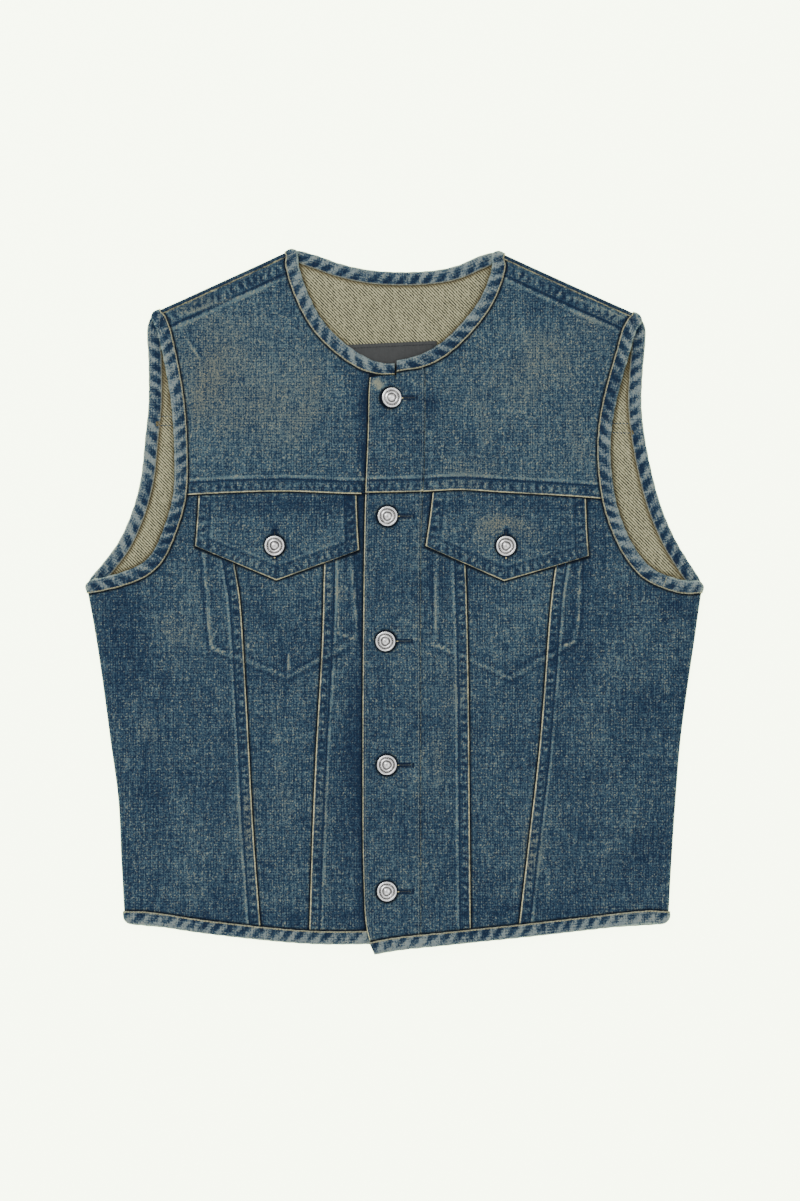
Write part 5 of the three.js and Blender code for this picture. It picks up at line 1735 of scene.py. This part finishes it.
def folded_strip(name, ring, seed, tone=0.0, closed=False):
    """A binding: a strip bent round the edge of the cloth, each leaf pressed down along its stitches."""
    middle = (BINDING_DEPTH - CLOTH) / 2
    nose = middle + CLOTH / 2
    bends = np.linspace(-math.pi / 2, math.pi / 2, BEND_CELLS + 1)
    leaf = np.linspace(1, 0, LEAF_CELLS + 1)[:-1]
    width = ring["width"][:, None]
    # Share of the leaf from the bend to its inner edge, and on which leaf: -1 under, 1 over
    share = np.concatenate((leaf, np.zeros(len(bends)), leaf[::-1]))[None, :]
    side = np.concatenate((-np.ones(len(leaf)), np.sin(bends), np.ones(len(leaf))))[None, :]
    bend = np.concatenate((np.zeros(len(leaf)), np.cos(bends), np.zeros(len(leaf))))[None, :]
    reach = CORNER_ROUND + TANGENT
    tight = reach - np.clip(ring["near"] + TANGENT, 0, reach)[:, None]
    drawn_in = (reach - np.sqrt(reach**2 - tight**2)) * CORNER_ROUND / reach
    inside = nose - middle * bend + (width - nose) * share + drawn_in * (1 - share)
    pressed = mix(middle, CLOTH + 0.04, ease(0.3, 0.8, share))
    steps = np.linalg.norm(np.diff(ring["open"], axis=0), axis=1)
    far = np.concatenate(([0], np.cumsum(steps)))[:, None]
    wave = pucker(far, inside * 1.6, seed, 11.5)
    fine = pucker(far, -inside, seed + 5, 5.2)
    if closed:
        meeting = ease(far[-1, 0] - 14, far[-1, 0], far)
        wave, fine = mix(wave, wave[:1], meeting), mix(fine, fine[:1], meeting)
    loose = np.sin(math.pi * np.clip(mix(0.25, 1.0, share), 0, 1)) * 0.6 + 0.4 * (1 - share)
    upward = np.abs(ring["up"][:, 2:3])
    relief = (0.75 * wave + 0.25 * fine) * sizes().pucker_height * (0.35 + 0.75 * loose)
    over = bulk(ring["open"][:, 0], ring["open"][:, 1])[:, None] * (0.25 + 0.5 * ease(0.2, 0.7, share))
    above = side * pressed + np.sign(side) * (relief * np.abs(side) + over * np.abs(side) * upward)
    # A crest in the bend stands out of the opening a little
    inward = inside - relief * bend * 0.8 - 0.25 * share * wave
    opening, across, up = (ring[key][:, None, :] for key in ("open", "across", "up"))
    points = opening + across * inward[..., None] + up * above[..., None]
    plain = opening + across * inside[..., None] + up * (side * middle)[..., None]
    outward = up * side[..., None] - across * bend[..., None]
    values = {
        "edge": width - inside, "gap": NO_EDGE, "band": 1 - share, "along": far,
        "rub": 0.25 * bend + 0.35 * np.clip(wave - 0.25, 0, 1) * (1 - 0.5 * share),
        "pucker": np.clip(wave * 0.95 + 0.3 * fine, -1.2, 1.2),
        "tone": tone + 0.3 * np.sin(far / 37 + seed) + 0.25 * np.sin(far / 14.3),
    }
    uv = np.stack([np.broadcast_to(way, points.shape[:2]) for way in (inside * side, far)], -1) * MM
    piece = grid_mesh(name + "_cloth", points, outward, values, uv, (finish("binding"), finish("lining")),
                      closed=closed)
    declare_cloth(piece, plain)


class VEST_OT_bindings(PieceOperator):
    """Folded strips round the neck, the armholes and the hem"""

    bl_idname = "vest.bindings"
    bl_label = "Bindings"

    def build(self):
        cell = sizes().binding_cell / MM
        folded_strip("neck_binding", neck_ring(cell), 81, 0.25)
        folded_strip("hem_binding", hem_ring(cell), 82, 0.5)
        for k, side in enumerate(SIDES):
            folded_strip("armhole_binding_" + side, armhole_ring(side, cell), 83 + k, 0.1, True)


# Buttons, buttonholes and the label
BUTTON_RADIUS = 8.5
SHANK_RADIUS = 3
TACK_RADIUS = 4.5
TACK_HOLE_RADIUS = 1.7
BUTTON_STEPS = 40
BUTTON_DOTS = 24


def solid_piece(name, bm, slot, node):
    """A finished form in millimetres as a piece, with the finish of its slot."""
    bmesh.ops.scale(bm, vec=(MM,) * 3, verts=bm.verts)
    for face in bm.faces:
        face.smooth = True
    piece = riding(name, mesh_of(name, bm), (finish(slot),))
    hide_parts(node)


# From the shank out to the rim and in again to the boss: radius, and height over the cloth
BUTTON_HEAD = (
    (SHANK_RADIUS, 0), (7.6, 0), (8.25, 0.35), (BUTTON_RADIUS, 0.9), (BUTTON_RADIUS, 1.5), (8.3, 2.0),
    (7.9, 2.3), (7.4, 2.35), (6.95, 2.15), (6.75, 1.5), (6.3, 1.4), (5.3, 1.6), (4.9, 2.0), (4.4, 2.05),
    (4.1, 1.5), (3.0, 1.4), (2.6, 1.8), (2.3, 2.3), (1.7, 2.5), (0.8, 2.58), (0, 2.6),
)
DOT_RADIUS = 0.32
DOTS_RADIUS = 5.75


def button_mesh(grip):
    """A shank button about the middle of its cloth: a tack behind, a shank, and a dished head with a
    rolled rim, a ring of small dots and a boss."""
    seat = CLOTH / 2 + GAP
    profile = [
        (0, -2 * seat), (TACK_RADIUS - 0.3, -2 * seat), (TACK_RADIUS, -1.5 * seat),
        (TACK_RADIUS - 0.2, -seat), (TACK_HOLE_RADIUS - GAP, -seat), (TACK_HOLE_RADIUS - GAP, seat), (SHANK_RADIUS, seat),
        *((radius, grip + height) for radius, height in BUTTON_HEAD),
    ]
    bm = bmesh.new()
    verts = [bm.verts.new((radius, 0, z)) for radius, z in profile]
    edges = [bm.edges.new(pair) for pair in zip(verts, verts[1:])]
    bmesh.ops.spin(bm, geom=verts + edges, cent=(0, 0, 0), axis=(0, 0, 1), angle=2 * math.pi,
                   steps=BUTTON_STEPS, use_merge=True)
    bmesh.ops.remove_doubles(bm, verts=bm.verts, dist=0.001)
    for k in range(BUTTON_DOTS):
        angle = 2 * math.pi * k / BUTTON_DOTS
        made = bmesh.ops.create_icosphere(bm, subdivisions=1, radius=DOT_RADIUS)
        bmesh.ops.scale(bm, vec=(1, 1, 0.8), verts=made["verts"])
        at = (DOTS_RADIUS * math.cos(angle), DOTS_RADIUS * math.sin(angle), grip + 1.7)
        bmesh.ops.translate(bm, vec=at, verts=made["verts"])
    bmesh.ops.recalc_face_normals(bm, faces=bm.faces)
    # 1 low in the head's rings and at its middle, where the plating paints shade
    hollow = bm.verts.layers.float.new("hollow")
    for vert in bm.verts:
        vert[hollow] = 1.0 if vert.co.z < grip + 1.65 or math.hypot(vert.co.x, vert.co.y) < 0.7 else 0.0
    return bm


class VEST_OT_buttons(PieceOperator):
    """Shank buttons down the front and on the flaps"""

    bl_idname = "vest.buttons"
    bl_label = "Buttons"

    def build(self):
        lapped, flap = LAP_RISE + DOUBLED / 2 + GAP, 1.5 * CLOTH + 2 * GAP
        places = [(f"button_{k + 1}", row, "right", lapped) for k, row in enumerate(FRONT_BUTTONS)]
        places += [("flap_button_" + side, FLAP_BUTTONS[side], side, flap) for side in SIDES]
        for k, (name, at, side, grip) in enumerate(places):
            x, y = at["x"], at["y"]
            bm = button_mesh(grip)
            z = float(front_height(side, np.array([x]), np.array([y]))[0])
            # Each head sits turned and a little askew on its own shank
            tilt = Vector((math.sin(2.1 * k), math.cos(1.7 * k), 0))
            lean = 0.05 * tilt if k else Vector((0.22, 0.04, 0))
            askew = Vector((0, 0, 1)).rotation_difference((Vector((0, 0, 1)) + lean).normalized())
            bmesh.ops.rotate(bm, cent=(0, 0, 0), matrix=askew.to_matrix(), verts=bm.verts)
            bmesh.ops.translate(bm, vec=(x, y, z), verts=bm.verts)
            solid_piece(name + "_metal", bm, "metal", name)


class VEST_OT_label(PieceOperator):
    """Leather label inside the back neck"""

    bl_idname = "vest.label"
    bl_label = "Label"

    def build(self):
        width, height = LABEL["right"] - LABEL["left"], LABEL["height"]
        bm = bmesh.new()
        bmesh.ops.create_cube(bm, size=1)
        bmesh.ops.scale(bm, vec=(width, height, CLOTH), verts=bm.verts)
        upright = [e for e in bm.edges if abs(e.verts[0].co.z - e.verts[1].co.z) > 0.5]
        bmesh.ops.bevel(bm, geom=upright, offset=2.2, segments=5, profile=0.5, affect="EDGES", material=-1)
        rims = [e for e in bm.edges if len(e.link_faces) == 2 and e.calc_face_angle(0) > 1.2]
        bmesh.ops.bevel(bm, geom=rims, offset=0.28, segments=3, profile=0.5, affect="EDGES", material=-1)
        for way, span, reach, cuts in (((1, 0, 0), width, 0.45, 19), ((0, 1, 0), height, 0.42, 13)):
            for share in np.linspace(-reach, reach, cuts):
                geom = [*bm.verts, *bm.edges, *bm.faces]
                at = tuple(share * span * k for k in way)
                bmesh.ops.bisect_plane(bm, geom=geom, plane_co=at, plane_no=way)
        centre = Vector(((LABEL["left"] + LABEL["right"]) / 2, LABEL["top"] - height / 2, 1.5 * CLOTH + GAP))
        for vert in bm.verts:
            x, y = vert.co.x, vert.co.y
            vert.co.z += 0.12 * float(ripple(x, y, 34, 9)) + 0.1
            # A pressed line along the stitches
            inset = min(width / 2 - abs(x), height / 2 - abs(y))
            vert.co.z -= 0.1 * math.exp(-((inset - LABEL_ROW_IN) / 1.2) ** 2) if vert.co.z > 0 else 0
            vert.co.y += LABEL_LEAN * x / width
        bmesh.ops.translate(bm, vec=centre, verts=bm.verts)
        solid_piece("label_leather", bm, "leather", "label")


def surfaces(names):
    """The finished surfaces of these pieces, to drop stitches on."""
    graph = bpy.context.evaluated_depsgraph_get()
    return [BVHTree.FromObject(bpy.data.objects[name], graph) for name in names]


def dropped(trees, points, ups):
    """Each point moved along its up direction onto the highest of the surfaces; no hit gives nan."""
    out = np.full(points.shape, np.nan)
    for k, (point, up) in enumerate(zip(points, ups)):
        start = Vector(point + 15 * up) * MM
        best = None
        for tree in trees:
            hit, _, _, distance = tree.ray_cast(start, Vector(-up), 0.05)
            if hit is not None and (best is None or distance < best[1]):
                best = (hit, distance)
        if best is not None:
            out[k] = np.array(best[0]) / MM
    return out


def stitch_shape():
    """One stitch, a millimetre long and thick: a low capsule, from -0.5 to 0.5 along x."""
    bm = bmesh.new()
    bmesh.ops.create_uvsphere(bm, u_segments=6, v_segments=4, radius=0.5)
    turned = Matrix.Rotation(math.pi / 2, 3, "Y")
    bmesh.ops.rotate(bm, cent=(0, 0, 0), matrix=turned, verts=bm.verts)
    return mesh_of("stitch", bm)


STITCH_FILL = 0.86  # of the way from one stitch to the next that shows its thread
LOW_THREAD = 0.8  # how high a stitch is, to its width


def sew(name, rows, pitch=None, thick=None, sunk=0.12, seed=1, thread="blue_thread"):
    """Rows of stitches as one joined mesh. Each row gives points on the cloth and the ways up there."""
    pitch = (pitch or sizes().stitch_pitch) / MM
    thick = (thick or sizes().thread) / MM
    stitch = stitch_shape()
    shape = np.array([vertex.co[:] for vertex in stitch.vertices])[None]
    random = np.random.default_rng(seed)
    placed = []
    for points, ups in rows:
        good = ~np.isnan(points).any(1)
        points, ups = points[good], ups[good]
        if len(points) < 2:
            continue
        far = np.concatenate(([0], np.cumsum(np.linalg.norm(np.diff(points, axis=0), axis=1))))
        count = int(far[-1] // pitch)
        if count < 1:
            continue

        def along_row(values, where):
            return np.stack([np.interp(where, far, values[:, k]) for k in range(3)], -1)

        middles = (np.arange(count) + 0.5) * far[-1] / count
        length = far[-1] / count * STITCH_FILL
        along = unit(along_row(points, middles + length / 2) - along_row(points, middles - length / 2))
        across = unit(np.cross(unit(along_row(ups, middles)), along))
        up = np.cross(along, across)
        jitter = random.uniform(-1, 1, (count, 3))
        along = unit(along + 0.05 * jitter[:, :1] * across)
        middle = along_row(points, middles) + across * 0.1 * jitter[:, 1:2] + up * (thick * (0.5 - sunk))
        stretch = length * (1 + 0.08 * jitter[:, 2:3])
        body = middle[:, None] + along[:, None] * shape[..., :1] * stretch[:, None]
        body = body + across[:, None] * shape[..., 1:2] * thick
        body = body + up[:, None] * shape[..., 2:3] * thick * LOW_THREAD
        placed.append(body.reshape(-1, 3))
    points = np.concatenate(placed)
    bm = bmesh.new()
    for _ in range(len(points) // shape.shape[1]):
        bm.from_mesh(stitch)
    mesh = mesh_of(name, bm)
    bpy.data.meshes.remove(stitch)
    mesh.vertices.foreach_set("co", (points * MM).ravel())
    mesh.polygons.foreach_set("use_smooth", np.ones(len(mesh.polygons), bool))
    riding(name, mesh, (finish(thread),))


def row_on(trees, line, start=0.0, end=1.0, up=1, step=1.5):
    """A row of stitches along a flat line, dropped on the cloth from above or, with up -1, from below."""
    count = max(2, round(line.length * (end - start) / step))
    points = line.at(np.linspace(start, end, count + 1))
    ups = np.tile(vector(0, 0, up), (len(points), 1))
    return dropped(trees, points, ups), ups


def row_between(trees, line, one, other, up=1):
    """The same, from where the line crosses one other line to where it crosses another."""
    return row_on(trees, line, *sorted((line.meets(one), line.meets(other))), up)


# Distances of the two rows of stitches from a seam or folded edge
BAND_ROWS = (1.7, 8.2)
YOKE_ROWS = (1.7, 9.6)
SHOULDER_ROWS = (1.9, SHOULDER_BAND - 4)
SIDE_ROWS_IN = (1.5, 11)
FLAP_ROWS = (2.0, 11.5)
BINDING_ROW_IN = 0.8
LABEL_ROW_IN = 3
LABEL_LEAN = 3.4
HOLE_PITCH = 0.62


def holes():
    """Each buttonhole: its middle, the ways along it and across, its sizes and the piece that it is in."""
    for k, row in enumerate(FRONT_BUTTONS):
        piece = "placket_lower_cloth" if k else "placket_upper_cloth"
        yield vector(row["x"], row["y"]), vector(1, 0), vector(0, 1), FRONT_HOLE, piece
    for side in SIDES:
        at = FLAP_BUTTONS[side]
        yield vector(at["x"], at["y"]), vector(0, 1), vector(-1, 0), FLAP_HOLE, f"pocket_flap_{side}_cloth"


class VEST_OT_stitches(PieceOperator):
    """Topstitches of the seams, bindings, flaps, placket, buttonholes and label"""

    bl_idname = "vest.stitches"
    bl_label = "Stitches"

    def build(self):
        self.seams()
        self.bindings()
        self.pockets()
        self.placket()
        self.back()
        self.buttonholes()

    def seams(self):
        rows = []
        for side in SIDES:
            trees = surfaces([f"{kind}_{side}_cloth" for kind in ("side_front", "inner_front", "front_yoke")])
            yoke, hem = YOKE_LINE[side], EDGE["hem_" + side].leaf(0.4)
            for line, sign in ((OUTER_LINE[side], SIGN[side]), (INNER_LINE[side], -SIGN[side])):
                for inset in BAND_ROWS:
                    rows.append(row_on(trees, line.offset(sign * inset), line.meets(yoke), line.meets(hem)))
            arm, neck = EDGE["arm_front_" + side].leaf(0.3), EDGE["neck_" + side].leaf(0.3)
            front = PLACKET_SEAM_LINE if side == "left" else PLACKET_EDGE_LINE
            ends = sorted((yoke.meets(arm), yoke.meets(front)))
            for inset in YOKE_ROWS:
                rows.append(row_on(trees, yoke.offset(inset), *ends))
            for inset in SHOULDER_ROWS:
                line = shoulder_line(side, -SHOULDER_OVER).offset(-SIGN[side] * inset)
                rows.append(row_between(trees, line, neck, arm))
        underarm = level_line(UNDERARM_Y - BINDING_WIDTH - 3)
        hem = level_line(HEM_CORNER_Y + BINDING_WIDTH + 1)
        trees = surfaces(["side_front_left_cloth"])
        for inset in SIDE_ROWS_IN:
            line = SIDE_FOLD["left"].outline.moved(-TANGENT - inset, 0)
            rows.append(row_between(trees, line, underarm, hem))
        sew("seam_stitches", rows, seed=3)

    def bindings(self):
        """One row near the inner edge of each leaf; the cast goes the way up of each section."""
        rings = {"neck_binding": neck_ring(2.0), "hem_binding": hem_ring(2.0)}
        for side in SIDES:
            rings["armhole_binding_" + side] = armhole_ring(side, 2.0)
        rows, inner = [], []
        for name, ring in rings.items():
            trees = surfaces([name + "_cloth"])
            points = ring["open"] + ring["across"] * (ring["width"][:, None] - BINDING_ROW_IN)
            for leaf, facing in ((rows, 1), (inner, -1)):
                ups = ring["up"] * facing
                leaf.append((dropped(trees, points, ups), ups))
        # A row across the lap where the binding of the left armhole is joined
        arm = EDGE["arm_front_left"]
        x, y, _ = JOIN["left"]
        across = arm.across(arm.line.nearest(x, y)[2] / arm.line.length)
        start = vector(x, y) + 1.2 * across
        rows.append(row_on(surfaces(["armhole_binding_left_cloth"]), Line([start, start + 9.6 * across])))
        sew("binding_stitches", rows, pitch=0.0027, thick=0.0005, seed=4, thread="thread")
        sew("inner_binding_stitches", inner, pitch=0.0027, thick=0.00045, seed=5, thread="pale_blue_thread")

    def pockets(self):
        rows = []
        for side in SIDES:
            trees = surfaces([f"pocket_flap_{side}_cloth"])
            top = YOKE_LINE[side].moved(0, -1.5)
            left, right = (
                [vector(form["x"], form["y"]) for form in (FLAP[side][edge][0], FLAP[side][edge][-1])]
                for edge in ("left", "right")
            )
            outline = [*left, vector(*FLAP[side]["point"]), *reversed(right)]
            centre = vector(FLAP_BUTTONS[side]["x"], FLAP_BUTTONS[side]["y"] + 10)
            for inset in FLAP_ROWS:
                down, *low, up = inset_outline(outline, inset, centre)
                rows.append(row_on(trees, down, down.meets(top), 1.0))
                rows += [row_on(trees, line) for line in low]
                rows.append(row_on(trees, up, 0.0, up.meets(top)))
        sew("flap_stitches", rows, seed=5)

    def placket(self):
        trees = surfaces(["placket_upper_cloth", "placket_lower_cloth"])
        neck = EDGE["neck_left"].line.offset(EDGE["neck_left"].inside * (NARROW_END + 1.2))
        hem = EDGE["hem_left"].leaf(0.6)
        inner, outer = PLACKET_SEAM_LINE.moved(-2, 0), PLACKET_EDGE_LINE.moved(2.2, 0)
        rows = [
            row_on(trees, inner, inner.meets(neck), inner.meets(hem)),
            row_on(trees, outer, outer.meets(Line.through(PLACKET_TOP).moved(0, -2)), outer.meets(hem)),
        ]
        sew("placket_stitches", rows, seed=6, thread="pale_blue_thread")

    def back(self):
        trees = surfaces(["back_yoke_cloth", "back_panel_cloth"])
        arms = [EDGE["arm_back_" + side].leaf(0.3) for side in SIDES]
        rows = [
            row_between(trees, BACK_YOKE_LINE.moved(0, inset), *arms, up)
            for inset in YOKE_ROWS for up in (-1, 1)
        ]
        sew("back_stitches", rows, seed=7)
        left, right = LABEL["left"] + LABEL_ROW_IN, LABEL["right"] - LABEL_ROW_IN
        top, bottom = LABEL["top"] - LABEL_ROW_IN, LABEL["top"] - LABEL["height"] + LABEL_ROW_IN
        lean = LABEL_LEAN / 2
        corners = [(left, top - lean), (right, top + lean), (right, bottom + lean), (left, bottom - lean)]
        tree = surfaces(["label_leather"])
        rows = [
            row_on(tree, Line([vector(*a), vector(*b)])) for a, b in zip(corners, corners[1:] + corners[:1])
        ]
        sew("label_stitches", rows, pitch=0.0026, thick=0.0006, seed=8, thread="shadow")

    def buttonholes(self):
        """Worked edges: short stitches side by side across a slit and round its eye, and a bar at its end."""
        rows, bars = [], []
        for centre, way, across, hole, piece in holes():
            trees = surfaces([piece])
            for far in np.arange(-hole["behind"] - 1, hole["ahead"], HOLE_PITCH):
                for sign in (-1, 1):
                    ends = [centre + way * far + across * sign * off for off in (0.35, 2.3)]
                    rows.append(row_on(trees, Line(ends), step=1.0))
            for off in np.arange(-1.9, 2.0, HOLE_PITCH):
                a = centre + way * hole["ahead"] + across * off
                rows.append(row_on(trees, Line([a, a + way * 2.6]), step=1.0))
            if hole is FLAP_HOLE:
                at = centre - 10.4 * way
                bars += [(at - 1.1 * across, at + 1.1 * across), (at - 0.9 * way, at + 0.9 * way)]
            else:
                at = centre + (BUTTON_RADIUS + 0.3) * way
                bars.append((at - 0.4 * across, at + 2.2 * way))
        sew("buttonhole_stitches", rows, pitch=0.0017, thick=0.0006, sunk=0.3, seed=9, thread="dark_thread")
        trees = surfaces([f"{name}_cloth" for name in (
            "placket_upper", "placket_lower", "pocket_flap_right", "pocket_flap_left",
        )])
        bars = [row_on(trees, Line(ends), step=0.8) for ends in bars]
        sew("buttonhole_bars", bars, pitch=0.0018, thick=0.0009, sunk=-0.4, seed=10, thread="thread")
        for k, (centre, way, across, hole, piece) in enumerate(holes()):
            middle = centre + way * (hole["ahead"] - hole["behind"]) / 2
            along = np.linspace(-0.5, 0.5, 15)[None, :, None] * (hole["ahead"] + hole["behind"])
            flat = middle + way * along + across * np.array([-0.42, 0.0, 0.42])[:, None, None]
            ups = np.tile(vector(0, 0, 1), (flat.size // 3, 1))
            points = dropped(surfaces([piece]), flat.reshape(-1, 3), ups).reshape(flat.shape)
            points[..., 2] += 0.02
            slit = grid_mesh(f"slit_{k + 1}", points, (0, 0, 1), None, None, (finish("shadow"),), 0.1)


def inset_outline(corners, distance, centre):
    """The sides of an outline, each moved in by a distance towards the centre and cut by the next."""
    lines = []
    for a, b in zip(corners, corners[1:]):
        along = unit(b - a)
        normal = vector(-along[1], along[0])
        if np.dot(centre - a, normal) < 0:
            normal = -normal
        lines.append(Line([a + normal * distance - 40 * along, b + normal * distance + 40 * along]))
    points = [one.at(one.meets(other)) for one, other in zip(lines, lines[1:])]
    ends = [lines[0].points[0], *points, lines[-1].points[-1]]
    return [Line(pair) for pair in zip(ends, ends[1:])]


# The picture's frame on the surface: how wide a view it has, and where its middle lies
VIEW_HEIGHT = 1201 * 0.85
VIEW_LEVEL = 6
VIEW_MIDDLE = (4.7, -0.4)
CAMERA_UP = 3000
SENSOR = 36
FLOOR_GLOW = (0.87, 1.0, 0.65, 1)


class VEST_OT_stage(PieceOperator):
    """Floor, lights and camera"""

    bl_idname = "vest.stage"
    bl_label = "Stage"

    def build(self):
        scene = bpy.context.scene
        data = bpy.data.cameras.new("camera")
        data.sensor_fit = "VERTICAL"
        data.sensor_height = SENSOR
        data.lens = SENSOR * (CAMERA_UP - VIEW_LEVEL) / VIEW_HEIGHT
        data.clip_end = 20
        camera = bpy.data.objects.new("camera", data)
        camera.location = Vector((*VIEW_MIDDLE, CAMERA_UP)) * MM
        scene.collection.objects.link(camera)
        scene.camera = camera

        f = Finish("floor")
        pale = colour("floor")
        base = f.blend(f.noise(f.object_place(), 3, 2, 0.5), pale, shaded(pale, 0.985))
        bm = bmesh.new()
        bmesh.ops.create_grid(bm, x_segments=1, y_segments=1, size=6)
        mesh = mesh_of("floor", bm)
        mesh.materials.append(f.surface(base, 0.9, Emission_Color=FLOOR_GLOW, Emission_Strength=7.5))
        floor = bpy.data.objects.new("floor", mesh)
        scene.collection.objects.link(floor)

        world = bpy.data.worlds.new("soft_room")
        world.use_nodes = True
        background = world.node_tree.nodes["Background"]
        background.inputs["Color"].default_value = (1.0, 1.0, 1.0, 1)
        background.inputs["Strength"].default_value = 0.75
        scene.world = world
        for name, place, size, power in (
            ("key", (-1.3, 1.5, 2.0), 1.6, 62),
            ("fill", (1.7, 0.2, 2.2), 2.2, 22),
            ("low", (-0.2, -1.9, 1.5), 1.8, 14),
        ):
            lamp = bpy.data.lights.new(name, "AREA")
            lamp.size = size
            lamp.energy = power
            light = bpy.data.objects.new(name, lamp)
            light.location = place
            light.rotation_euler = (-Vector(place)).to_track_quat("-Z", "Y").to_euler()
            scene.collection.objects.link(light)


STEPS = (
    VEST_OT_stage, VEST_OT_back, VEST_OT_yokes, VEST_OT_fronts, VEST_OT_placket, VEST_OT_pockets,
    VEST_OT_bindings, VEST_OT_buttons, VEST_OT_label, VEST_OT_stitches,
)


class VEST_PT_panel(bpy.types.Panel):
    """Sizes, colours and steps of the vest"""

    bl_idname = "VEST_PT_panel"
    bl_label = "Denim vest"
    bl_space_type = "VIEW_3D"
    bl_region_type = "UI"
    bl_category = "Vest"

    def draw(self, context):
        for group in (context.scene.vest_sizes, context.scene.vest_colours):
            box = self.layout.box()
            for key in group.__annotations__:
                box.prop(group, key)
        for step in STEPS:
            self.layout.operator(step.bl_idname)


CLASSES = (VestSizes, VestColours, *STEPS, VEST_PT_panel)


def register():
    for cls in CLASSES:
        bpy.utils.register_class(cls)
    bpy.types.Scene.vest_sizes = PointerProperty(type=VestSizes)
    bpy.types.Scene.vest_colours = PointerProperty(type=VestColours)


def unregister():
    del bpy.types.Scene.vest_colours
    del bpy.types.Scene.vest_sizes
    for cls in reversed(CLASSES):
        bpy.utils.unregister_class(cls)


def main():
    register()
    for step in STEPS:
        group, name = step.bl_idname.split(".")
        getattr(getattr(bpy.ops, group), name)()
    bpy.context.view_layer.update()


if __name__ == "__main__":
    main()
